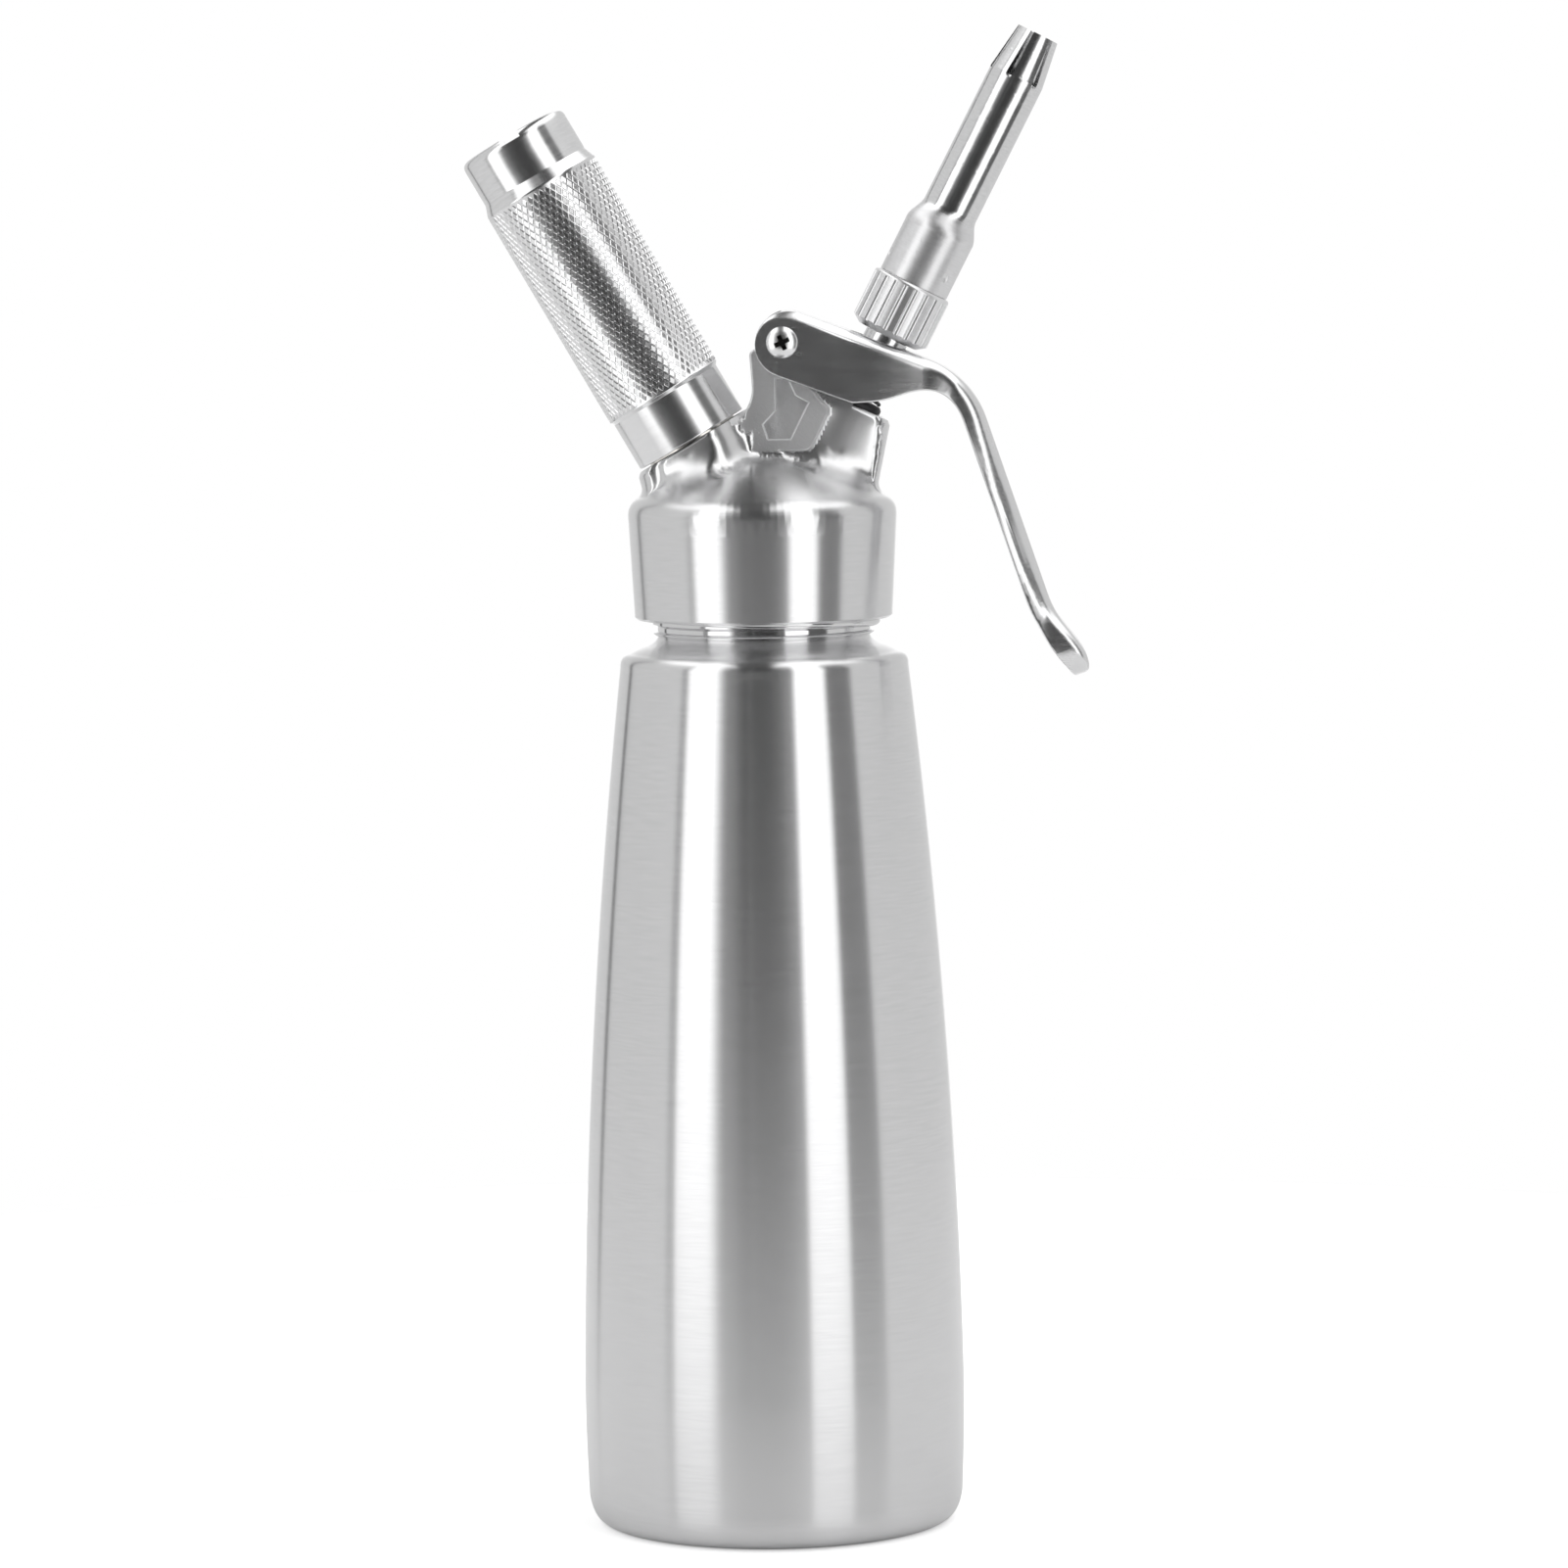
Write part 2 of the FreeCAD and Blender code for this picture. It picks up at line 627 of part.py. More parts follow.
def outer_run():
    """The lever's outer line, from under its round end to the tip."""
    reach = bend_length()
    down = way(LEVER_SLOPE + LEVER_BEND)
    inward = way(LEVER_SLOPE + LEVER_BEND + 90)
    bend_start = yoke_point(LEVER_CORNER - reach, LEVER_END_R)
    bend_end = arm_point(reach, 0)
    tip_start = arm_point(ARM_STRAIGHT, 0)
    curl = [arm_point(ARM_STRAIGHT + 4.7, 0.55), arm_point(ARM_STRAIGHT + 8.9, 1.95),
            arm_point(ARM_STRAIGHT + 12.2, 3.05), arm_point(ARM_STRAIGHT + 15.8, 3.45)]
    return [
        Part.Arc(point(around_end(180)), point(around_end(120)), point(around_end(60))).toShape(),
        Part.Arc(point(around_end(60)), point(around_end(30)), point(around_end(0))).toShape(),
        Part.makeLine(point(around_end(0)), point(bend_start)),
        Part.Arc(point(bend_start), point(bend_mid(0)), point(bend_end)).toShape(),
        Part.makeLine(point(bend_end), point(tip_start)),
        smooth(tip_start, tip_nose(), curl, down, inward),
    ]


def tip_nose():
    return arm_point(ARM_STRAIGHT + 19.0, 1.1)


def inner_run():
    """The lever's inner line, from the tip back to its round end."""
    up = way(LEVER_SLOPE + LEVER_BEND + 180)
    back = way(LEVER_SLOPE + 180)
    inward = way(LEVER_SLOPE + LEVER_BEND + 90)
    tip_end = arm_point(ARM_STRAIGHT - 2, -ARM_DEPTH)
    arm_low = arm_point(bend_length() + 1.5, -ARM_DEPTH)
    cheek_low = yoke_point(LEVER_CORNER - 26.05, -LEVER_END_R)
    curl = [arm_point(ARM_STRAIGHT + 16.6, -0.9), arm_point(ARM_STRAIGHT + 13.0, -2.3),
            arm_point(ARM_STRAIGHT + 9.0, -3.4), arm_point(ARM_STRAIGHT + 5.0, -4.1)]
    hollow = [yoke_point(LEVER_CORNER - back_by, up_by)
              for back_by, up_by in ((1.15, 0.0), (4.95, 1.25), (10.35, -0.5), (15.85, -4.45), (20.55, -6.6))]
    return [
        smooth(tip_nose(), tip_end, curl, inward, up),
        Part.makeLine(point(tip_end), point(arm_low)),
        smooth(arm_low, cheek_low, hollow, up, back),
        Part.makeLine(point(cheek_low), point(around_end(180))),
    ]


def lever_blank():
    """The lever before it is hollowed, with square edges."""
    face = Part.Face(Part.Wire(outer_run() + inner_run()))
    face.translate(Vector(0, -LEVER_HALF - 1, 0))
    return face.extrude(Vector(0, 2 * LEVER_HALF + 2, 0)).common(width_prism(0)).Solids[0]


def channel_outline():
    """The inside of the lever's channel, open downwards and at the pivot's far side."""
    roof = LEVER_END_R - LEVER_WEB
    reach = bend_length()
    return (
        yoke_point(-3 * roof, -4 * roof),
        yoke_point(-3 * roof, 3 * roof),
        yoke_point(WEB_START, 3 * roof),
        yoke_point(WEB_START, roof - 0.6),
        (yoke_point(0.45 * WEB_START, roof - 0.13), yoke_point(0, roof)),
        yoke_point(LEVER_CORNER - reach, roof),
        (bend_mid(LEVER_WEB), arm_point(reach, -LEVER_WEB)),
        arm_point(ARM_STRAIGHT - 7, -LEVER_WEB),
        arm_point(ARM_STRAIGHT - 2, -3 * ARM_DEPTH),
        yoke_point(20, -7 * roof),
    )


def width_prism(inset):
    """The lever's width seen square to the arm: yoke, slim arm and wider tip."""
    wide = LEVER_HALF - inset
    slim = ARM_HALF - inset
    flare = LEVER_TIP_HALF - inset
    end = ARM_STRAIGHT + 18.2 - inset
    ahead = Vector(1, 0, 0)
    neck = Part.BSplineCurve()
    neck.interpolate([Vector(1, wide, 0), Vector(12, (wide + slim) / 2 + 0.2, 0), Vector(26, slim, 0)],
                     InitialTangent=ahead, FinalTangent=ahead)
    spread = Part.BSplineCurve()
    spread.interpolate([Vector(40, slim, 0), Vector(51, (slim + flare) / 2, 0), Vector(ARM_STRAIGHT + 12, flare, 0),
                        Vector(end - 1.4, 0.66 * flare, 0), Vector(end, 0, 0)],
                       InitialTangent=ahead, FinalTangent=Vector(0, -1, 0))
    half = Part.Face(Part.Wire([
        Part.makeLine(Vector(-60, 0, 0), Vector(-60, wide, 0)),
        Part.makeLine(Vector(-60, wide, 0), Vector(1, wide, 0)),
        neck.toShape(),
        Part.makeLine(Vector(26, slim, 0), Vector(40, slim, 0)),
        spread.toShape(),
        Part.makeLine(Vector(end, 0, 0), Vector(-60, 0, 0)),
    ])).extrude(Vector(0, 0, 120))
    prism = half.fuse(half.mirror(Vector(0, 0, 0), Vector(0, 1, 0))).removeSplitter()
    prism.translate(Vector(0, 0, -60))
    corner = yoke_point(LEVER_CORNER, LEVER_END_R)
    prism.Placement = FreeCAD.Placement(
        Vector(corner[0], 0, corner[1]),
        FreeCAD.Rotation(Vector(0, 1, 0), LEVER_SLOPE + LEVER_BEND)).multiply(prism.Placement)
    return prism


def slot_centre():
    """Where the valve axis leaves the yoke's top face, along the yoke."""
    slope = math.radians(LEVER_SLOPE)
    lean = math.radians(VALVE_TILT)
    foot = valve_point(0, 0)
    rise = (foot[0] - PIVOT_X) * math.sin(slope) + (foot[1] - PIVOT_Z) * math.cos(slope)
    run = (foot[0] - PIVOT_X) * math.cos(slope) - (foot[1] - PIVOT_Z) * math.sin(slope)
    climb = LEVER_END_R - rise
    return run + climb * math.tan(lean - slope)


def slot_shape(half, length, thick, middle):
    """A round-ended bar standing square through the yoke's top face."""
    flat = length - 2 * half
    low = -thick / 2
    bar = Part.makeBox(flat, 2 * half, thick, Vector(-flat / 2, -half, low))
    ends = [Part.makeCylinder(half, thick, Vector(end * flat / 2, 0, low)) for end in (-1, 1)]
    shape = bar.fuse(ends).removeSplitter()
    x, z = yoke_point(middle, LEVER_END_R)
    shape.Placement = FreeCAD.Placement(Vector(x, 0, z), FreeCAD.Rotation(Vector(0, 1, 0), LEVER_SLOPE))
    return shape


def rounding_at(p):
    """The radius of the lever's outer edges, by distance along X."""
    bend_x = arm_point(0, 0)[0]
    stations = [(PIVOT_X, LEVER_END_ROUND), (PIVOT_X + 3.8, LEVER_ROUND), (bend_x, LEVER_ROUND),
                (bend_x + 8, ARM_ROUND), (arm_point(ARM_STRAIGHT - 7, 0)[0], ARM_ROUND),
                (tip_nose()[0], TIP_ROUND)]
    radius = LEVER_END_ROUND
    for (x0, r0), (x1, r1) in zip(stations, stations[1:]):
        if p.x > x0:
            radius = r0 + (r1 - r0) * min(1, (p.x - x0) / (x1 - x0))
    return radius


def along_lever(p):
    """How far a point is along the lever's outer line."""
    return p.x - 0.4 * p.z


def edge_radii(blank):
    """For each long edge its number and the radii at its start and end. The chain of edges
    runs from the round end to the tip on the far side, and back on the near side."""
    outer = Part.Wire(outer_run())
    inner = Part.Wire(inner_run())
    radii = []
    for number, edge in enumerate(blank.Edges, 1):
        ends = sorted([v.Point for v in edge.Vertexes], key=along_lever)
        mid = edge.valueAt((edge.FirstParameter + edge.LastParameter) / 2)
        if abs(mid.y) < 0.5:
            continue
        flat_mid = Part.Vertex(Vector(mid.x, 0, mid.z))
        if outer.distToShape(flat_mid)[0] < 0.01:
            pair = [rounding_at(p) for p in ends]
            if mid.y < 0:
                pair.reverse()
            radii.append((number, pair[0], pair[1]))
        elif inner.distToShape(flat_mid)[0] < 0.01:
            radii.append((number, LEVER_EDGE, LEVER_EDGE))
    return radii


def rounded(blank):
    """The blank with its long edges rounded."""
    pages = FreeCAD.newDocument("lever")
    base = pages.addObject("Part::Feature", "blank")
    base.Shape = blank
    fillet = pages.addObject("Part::Fillet", "rounding")
    fillet.Base = base
    fillet.Edges = edge_radii(blank)
    pages.recompute()
    shape = fillet.Shape.copy()
    FreeCAD.closeDocument(pages.Name)
    return shape.Solids[0]


def lever():
    channel = plate(LEVER_HALF, *channel_outline()).common(width_prism(LEVER_CHEEK))
    middle = slot_centre()
    slot = slot_shape(STEM_SLOT_HALF, STEM_SLOT_LENGTH, 4 * LEVER_WEB, middle - 1.0)
    bores = pivot_rod(CHEEK_BORE_R, LEVER_HALF + 1)
    return rounded(lever_blank()).cut([channel, slot, bores]).removeSplitter()


# --- Valve --------------------------------------------------------------------------------

def valve_guide():
    body = turned((STEM_R + RUNNING, -GUIDE_ROOT_H), (TOWER_BORE_R - RUNNING, -GUIDE_ROOT_H),
                  (TOWER_BORE_R - RUNNING, SEAT), (GUIDE_FLANGE_R, SEAT), (GUIDE_FLANGE_R, 0.6 * GUIDE_FLANGE_H),
                  (GUIDE_FLANGE_R - 0.5, GUIDE_FLANGE_H), (STEM_R + RUNNING, GUIDE_FLANGE_H))
    return on_valve_axis(body)


def seal_top():
    """Top of the disc that closes the seat, on the valve axis."""
    return -TOWER_BORE_H - SEAT


def valve_stem():
    flange_low = STEM_FLANGE_TOP - STEM_FLANGE_H
    low = seal_top() - VALVE_SEAL_THICK - RETAINER_H - 0.8
    blind = STEM_HOLE_Z - 2 * STEM_HOLE_R
    body = turned((0, low), (STEM_LOW_R, low), (STEM_LOW_R, seal_top()), (STEM_R, seal_top()),
                  (STEM_R, flange_low), (STEM_FLANGE_R, flange_low), (STEM_FLANGE_R, STEM_FLANGE_TOP),
                  (STEM_COLLAR_R, STEM_FLANGE_TOP), (STEM_COLLAR_R, STEM_COLLAR_TOP),
                  (STEM_THREAD_R, STEM_COLLAR_TOP), (STEM_THREAD_R, STEM_TOP), (STEM_BORE_R, STEM_TOP),
                  (STEM_BORE_R, blind), (0, blind))
    hole = Part.makeCylinder(STEM_HOLE_R, 4 * STEM_R, Vector(0, -2 * STEM_R, STEM_HOLE_Z), Vector(0, 1, 0))
    return on_valve_axis(body.cut(hole))


def valve_spring():
    bottom = GUIDE_FLANGE_H + SPRING_WIRE_R + SEAT
    top = STEM_FLANGE_TOP - STEM_FLANGE_H - SPRING_WIRE_R - SEAT
    radius = (STEM_R + GUIDE_FLANGE_R) / 2 + 0.2
    helix = Part.makeHelix((top - bottom) / SPRING_TURNS, top - bottom, radius)
    wire = Part.Wire(helix.Edges)
    disc = Part.Wire(Part.makeCircle(SPRING_WIRE_R, Vector(radius, 0, 0), Vector(0, 1, 0)))
    coil = wire.makePipeShell([disc], True, True)
    coil.translate(Vector(0, 0, bottom))
    return on_valve_axis(coil)


def stem_o_ring():
    top = -GUIDE_ROOT_H - SEAT
    inner = STEM_R + RUNNING
    outer = TOWER_BORE_R - RUNNING
    width = outer - inner
    low = top - O_RING_THICK
    edge = 0.3 * width
    body = turned((inner, low + edge), (inner + edge, low), (outer - edge, low), (outer, low + edge),
                  (outer, top - edge), (outer - edge, top), (inner + edge, top), (inner, top - edge))
    return on_valve_axis(body)


def valve_seal():
    top = seal_top()
    return on_valve_axis(ring(STEM_LOW_R + RUNNING, VALVE_SEAL_R, top - VALVE_SEAL_THICK, top))


def seal_retainer():
    top = seal_top() - VALVE_SEAL_THICK - SEAT
    low = top - RETAINER_H
    edge = 0.4
    body = turned((STEM_LOW_R + RUNNING, low), (RETAINER_R - edge, low), (RETAINER_R, low + edge),
                  (RETAINER_R, top), (STEM_LOW_R + RUNNING, top))
    flats = Part.makeBox(1.75 * RETAINER_R, 4 * RETAINER_R, 4 * RETAINER_H,
                         Vector(-0.875 * RETAINER_R, -2 * RETAINER_R, low - RETAINER_H))
    return on_valve_axis(body.common(flats))


# --- Nozzle -------------------------------------------------------------------------------

def nut_top():
    return NUT_BOTTOM + NUT_H


def nozzle_nut():
    """The adaptor nut: a fluted grip, and a spigot that the tip is staked on."""
    low = NUT_BOTTOM
    top = nut_top()
    spigot_r = TIP_BELL_R - TIP_WALL - RUNNING
    bore_r = STEM_THREAD_R + RUNNING
    web_low = STEM_TOP + SEAT + NOZZLE_SEAL_THICK + SEAT
    way_r = STEM_BORE_R + 0.3
    body = turned((bore_r, low), (NUT_R - NUT_CHAMFER, low), (NUT_R, low + NUT_CHAMFER_H),
                  (NUT_R, top - NUT_TOP_EDGE),
                  ((NUT_R - 0.29 * NUT_TOP_EDGE, top - 0.29 * NUT_TOP_EDGE), (NUT_R - NUT_TOP_EDGE, top)), (spigot_r, top), (spigot_r, top + NUT_SPIGOT_H - 0.5),
                  (spigot_r - 0.5, top + NUT_SPIGOT_H), (way_r + 2, top + NUT_SPIGOT_H),
                  (way_r, web_low + NUT_WEB), (way_r, web_low), (bore_r, web_low))
    cutter_r = 0.75
    flutes = []
    for number in range(NUT_FLUTES):
        turn = 2 * math.pi * number / NUT_FLUTES
        reach = NUT_R + cutter_r - NUT_FLUTE_DEPTH
        flutes.append(Part.makeCylinder(cutter_r, NUT_H - NUT_TOP_EDGE,
                                        Vector(reach * math.cos(turn), reach * math.sin(turn), low)))
    return on_valve_axis(body.cut(flutes))


def nozzle_seal():
    low = STEM_TOP + SEAT
    return on_valve_axis(ring(STEM_BORE_R + 0.3, STEM_THREAD_R - RUNNING, low, low + NOZZLE_SEAL_THICK))


def decorator_tip():
    low = nut_top() + SEAT
    bell = low + TIP_BELL_H
    tube = bell + TIP_CONE_H
    root = TIP_TOP - TIP_FINGER_H
    w = TIP_WALL
    cone_low = (TIP_BELL_R - 0.32 * (TIP_BELL_R - TIP_TUBE_R), bell + 0.45 * TIP_CONE_H)
    cone_in = (cone_low[0] - w, cone_low[1])
    body = turned((TIP_BELL_R - w, low), (TIP_BELL_R, low), (TIP_BELL_R, bell),
                  [cone_low, (TIP_TUBE_R + 0.08, tube - 0.6), (TIP_TUBE_R, tube)],
                  (TIP_TUBE_R, root), (TIP_END_R, TIP_TOP), (TIP_END_R - w, TIP_TOP),
                  (TIP_TUBE_R - w, root), (TIP_TUBE_R - w, tube),
                  [(TIP_TUBE_R + 0.08 - w, tube - 0.6), cone_in, (TIP_BELL_R - w, bell)])
    slits = []
    for number in range(TIP_FINGERS):
        slit = face_of((-SLIT_ROOT_W / 2, root), (-SLIT_END_W / 2, TIP_TOP + 1), (SLIT_END_W / 2, TIP_TOP + 1),
                       (SLIT_ROOT_W / 2, root),
                       ((0, root - SLIT_ROOT_W / 2), (-SLIT_ROOT_W / 2, root)))
        slit = slit.extrude(Vector(0, -TIP_TUBE_R - 1, 0))
        slit.rotate(Vector(0, 0, 0), Vector(0, 0, 1), SLIT_TURN + 360 * number / TIP_FINGERS)
        slits.append(slit)
    dimples = []
    for number in range(DIMPLES):
        turn = math.radians(DIMPLE_TURN + 360 * number / DIMPLES)
        reach = TIP_BELL_R + DIMPLE_BALL_R - DIMPLE_DEPTH
        dimples.append(Part.makeSphere(DIMPLE_BALL_R, Vector(reach * math.sin(turn), reach * math.cos(turn),
                                                             low + DIMPLE_H)))
    return on_valve_axis(body.cut(slits + dimples))


# --- Charger side -------------------------------------------------------------------------

def holder_length():
    """The holder is as long as the charger in it needs."""
    return NECK_TIP + CHARGER_LENGTH + SEAT + HOLDER_TOP_WALL


def charger_holder():
    top = holder_length()
    cone = top - HOLDER_NOSE_H - HOLDER_CONE_H
    stud_bore = STUD_R + THREAD_CLEAR
    bore = CHARGER_R + LOOSE
    bore_start = STUD_H + 0.6
    inner_top = top - HOLDER_TOP_WALL
    edge = HOLDER_EDGE
    body = turned((stud_bore, 0), (HOLDER_FOOT_R - 0.3, 0), (HOLDER_FOOT_R, 0.3), (HOLDER_FOOT_R, HOLDER_FOOT_H),
                  (HOLDER_GRIP_R, HOLDER_FOOT_H + 0.7), (HOLDER_GRIP_R, cone),
                  (HOLDER_NOSE_R, cone + HOLDER_CONE_H), (HOLDER_NOSE_R, top - edge),
                  ((HOLDER_NOSE_R - 0.29 * edge, top - 0.29 * edge), (HOLDER_NOSE_R - edge, top)),
                  (0, top), (0, inner_top), (bore - 3, inner_top),
                  ((bore - 0.88, inner_top - 0.88), (bore, inner_top - 3)),
                  (bore, bore_start), (stud_bore, bore_start - 0.8))
    slot = Part.makeBox(COIN_SLOT_WIDTH, 4 * HOLDER_NOSE_R, 2 * COIN_SLOT_DEPTH,
                        Vector(-COIN_SLOT_WIDTH / 2, -2 * HOLDER_NOSE_R, top - COIN_SLOT_DEPTH))
    return on_charger_axis(body.cut(slot))


def gas_charger():
    low = NECK_TIP
    neck = low + CHARGER_NECK_H
    shoulder = neck + CHARGER_SHOULDER_H
    top = low + CHARGER_LENGTH
    w = CHARGER_WALL
    end_r = CHARGER_R - 4.0
    hole = PIN_R + LOOSE
    body = turned((hole, low), (CHARGER_NECK_R, low), (CHARGER_NECK_R, neck),
                  ((CHARGER_NECK_R + 1.9, neck + 2.3), (CHARGER_R - 0.9, shoulder - 2.6)),
                  ((CHARGER_R - 0.25, shoulder - 1.4), (CHARGER_R, shoulder)),
                  (CHARGER_R, top - 4.0), ((CHARGER_R - 1.17, top - 1.17), (end_r, top)),
                  (0, top), (0, top - w), (end_r, top - w),
                  ((CHARGER_R - w - 0.9, top - w - 0.9), (CHARGER_R - w, top - 4.0)),
                  (CHARGER_R - w, shoulder), (CHARGER_NECK_R - w, neck + 1.5), (hole + 1, neck), (hole, neck - 1))
    return on_charger_axis(body)


def seal_seat():
    """Underside of the charger seal."""
    return NECK_TIP - SEAT - CHARGER_SEAL_THICK


def pin_holder():
    """The stud that the holder screws on, with the charger's neck inside it."""
    foot = -BOSS_GAP - STUD_ROOT_H
    neck_bore = CHARGER_NECK_R + LOOSE
    cup = seal_seat() - SEAT
    mouth = NECK_TIP + CHARGER_NECK_H - 0.8
    rim = STUD_R - 1.2
    top = min(STUD_H, mouth)
    body = turned((PIN_FOOT_R + RUNNING, foot), (STUD_ROOT_R, foot), (STUD_ROOT_R, SEAT - BOSS_GAP),
                  (STUD_R, SEAT - BOSS_GAP), (STUD_R, top - 0.6), (rim, top), (neck_bore + 0.5, top),
                  (neck_bore, top - 0.8), (neck_bore, cup), (PIN_FOOT_R + RUNNING, cup))
    return on_charger_axis(body)


def piercing_pin():
    foot = -BOSS_GAP - STUD_ROOT_H
    flange = seal_seat() - SEAT
    tip = NECK_TIP + PIN_REACH
    bore = PIN_R / 2
    body = turned((bore, foot), (PIN_FOOT_R, foot), (PIN_FOOT_R, flange), (PIN_R, flange + 0.6),
                  (PIN_R, tip - 1.2), (bore, tip))
    return on_charger_axis(body)


def charger_seal():
    low = seal_seat()
    return on_charger_axis(ring(PIN_R + LOOSE, CHARGER_NECK_R + 0.2, low + 0.6, low + CHARGER_SEAL_THICK))


def inlet_valve():
    face = -INLET_FACE - INLET_SEAL_THICK - 2 * SEAT
    hex_low = face - INLET_HEX_H
    low = hex_low - INLET_NIPPLE_H
    corner = INLET_HEX / 2 / math.cos(math.pi / 6)
    body = rod(INLET_SPIGOT_R, face, -INLET_FACE + INLET_SPIGOT_H)
    hexagon = Part.Face(Part.makePolygon(
        [Vector(corner * math.cos(k * math.pi / 3), corner * math.sin(k * math.pi / 3), hex_low) for k in range(7)]))
    body = body.fuse([hexagon.extrude(Vector(0, 0, INLET_HEX_H)), rod(INLET_NIPPLE_R, low, hex_low)])
    way = rod(GAS_R, low + 1.5, 0)
    cross = Part.makeCylinder(GAS_R, 4 * INLET_NIPPLE_R, Vector(0, -2 * INLET_NIPPLE_R, low + 2.0), Vector(0, 1, 0))
    return on_charger_axis(body.cut([way, cross]).removeSplitter())


def inlet_valve_seal():
    top = -INLET_FACE - SEAT
    return on_charger_axis(ring(INLET_SPIGOT_R + RUNNING, INLET_PORT_R - LOOSE, top - INLET_SEAL_THICK, top))


def inlet_valve_cap():
    hex_low = -INLET_FACE - INLET_SEAL_THICK - 2 * SEAT - INLET_HEX_H
    low = hex_low - INLET_NIPPLE_H
    inner = INLET_NIPPLE_R + RUNNING
    outer = inner + INLET_CAP_WALL
    floor = low - SEAT
    body = turned((0, floor - INLET_CAP_WALL), (outer - 0.6, floor - INLET_CAP_WALL), (outer, floor - 0.3),
                  (outer, hex_low - SEAT), (inner, hex_low - SEAT), (inner, floor), (0, floor))
    return on_charger_axis(body)


PARTS = {
    "bottle": bottle,
    "head": head,
    "head_gasket": head_gasket,
    "lever": lever,
    "lever_screw": lever_screw,
    "lever_sleeve_nut": lever_sleeve_nut,
    "valve_stem": valve_stem,
    "valve_spring": valve_spring,
    "valve_guide": valve_guide,
    "stem_o_ring": stem_o_ring,
    "valve_seal": valve_seal,
    "seal_retainer": seal_retainer,
    "nozzle_nut": nozzle_nut,
    "nozzle_seal": nozzle_seal,
    "decorator_tip": decorator_tip,
    "charger_holder": charger_holder,
    "gas_charger": gas_charger,
    "pin_holder": pin_holder,
    "piercing_pin": piercing_pin,
    "charger_seal": charger_seal,
    "inlet_valve": inlet_valve,
    "inlet_valve_seal": inlet_valve_seal,
    "inlet_valve_cap": inlet_valve_cap,
}

os.makedirs("parts", exist_ok=True)
for name, make in PARTS.items():
    shape = make()
    print(name, len(shape.Solids), shape.isValid(), round(shape.Volume, 1))
    shape.exportStep("parts/" + name + ".step")
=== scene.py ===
import json
import math

import bmesh
import bpy
import mathutils
from mathutils import Matrix, Vector


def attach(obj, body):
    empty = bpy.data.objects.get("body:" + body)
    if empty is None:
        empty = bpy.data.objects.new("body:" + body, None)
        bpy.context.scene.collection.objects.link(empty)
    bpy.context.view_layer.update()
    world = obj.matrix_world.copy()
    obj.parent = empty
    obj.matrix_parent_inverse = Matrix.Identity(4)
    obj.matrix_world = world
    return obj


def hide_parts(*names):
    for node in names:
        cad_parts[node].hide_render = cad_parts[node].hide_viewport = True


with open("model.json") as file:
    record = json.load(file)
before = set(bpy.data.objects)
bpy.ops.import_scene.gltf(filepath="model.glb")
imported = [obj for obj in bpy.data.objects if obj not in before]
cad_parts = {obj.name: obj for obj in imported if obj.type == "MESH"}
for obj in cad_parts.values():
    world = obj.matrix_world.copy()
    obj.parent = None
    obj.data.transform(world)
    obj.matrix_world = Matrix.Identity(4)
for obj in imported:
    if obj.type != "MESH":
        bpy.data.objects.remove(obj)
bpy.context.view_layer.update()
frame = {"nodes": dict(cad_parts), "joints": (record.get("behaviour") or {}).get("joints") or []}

scene = bpy.context.scene

# Lengths of the dispenser's pieces are in millimetres here, unless a comment says metres.
MM = 0.001

# --- Camera ---
CAMERA_AZIMUTH = 1.5  # degrees to the right of the lever's plane
CAMERA_DISTANCE = 1.480  # metres, from the bottle's axis
CAMERA_HEIGHT = 0.287  # metres
CAMERA_PITCH = 5.03
CAMERA_YAW = -0.145
CAMERA_ROLL = -0.8
CAMERA_LENS = 161.4
CAMERA_SENSOR = 36.0

# --- Bottle ---
BODY_R = 40.29
WIDEST_Z = 30.0
FOOT_R = 36.0
FOOT_CORNER_Z = 5.5
BASE_DISH = 1.6
FOOT_RING = 3.0
SHOULDER_R = 30.5
SHOULDER_Z = 182.0
NECK_R = 23.5
NECK_WALL = 2.0
MOUTH_Z = 207.6
BOTTLE_WALL = 1.1
BODY_STEPS = 60
BODY_TAPER = 0.22  # share of the narrowing that is straight; the rest is curved
FLARE_R = 25.6  # the shoulder's inner end, where it dips into a groove
GROOVE_R = 22.4
GROOVE_Z = 188.4
BEAD_Z = 189.1  # a bright bead under the collar
BEAD_R = 0.55
BEAD_ROOT_R = 22.5
BEAD_SWELL = 0.85
POLISHED_NECK = (0.1882, 0.1888)  # metres: where the brushing ends and the polished neck starts

# --- Charger holder ---
HOLDER_LENGTH = 74.0
HOLDER_FOOT_R = 12.5
HOLDER_FOOT_H = 10.8
HOLDER_GRIP_R = 13.1
HOLDER_NOSE_R = 12.15
HOLDER_NOSE_H = 10.0
HOLDER_CONE_H = 2.4
HOLDER_EDGE = 2.0
HOLDER_TOP_WALL = 4.0
HOLDER_BORE_R = 9.25
STUD_BORE_R = 10.5
STUD_BORE_H = 10.0
COIN_SLOT_WIDTH = 4.4
COIN_SLOT_DEPTH = 1.4
COIN_SLOT_REACH = 20.0  # the slot's cutter stands out this far on each side
NOSE_BAND = 3.0  # from the slot's floor down to the next ring of edges
FOOT_SLOPE = 0.7
GRIP_STEP = 0.05  # the grip's two plain rims stand this far inside it
KNURL_RUN_OUT = 0.2
KNURL_STARTS = 58
KNURL_ANGLE = 29.0  # each way from the axis
KNURL_DEPTH = 0.26
KNURL_INSET = 0.1  # keeps the corners of the flat tops inside the grip
KNURL_TOP = 0.62  # share of each diamond that stays flat
KNURL_LOW = 11.9
KNURL_HIGH = 61.0

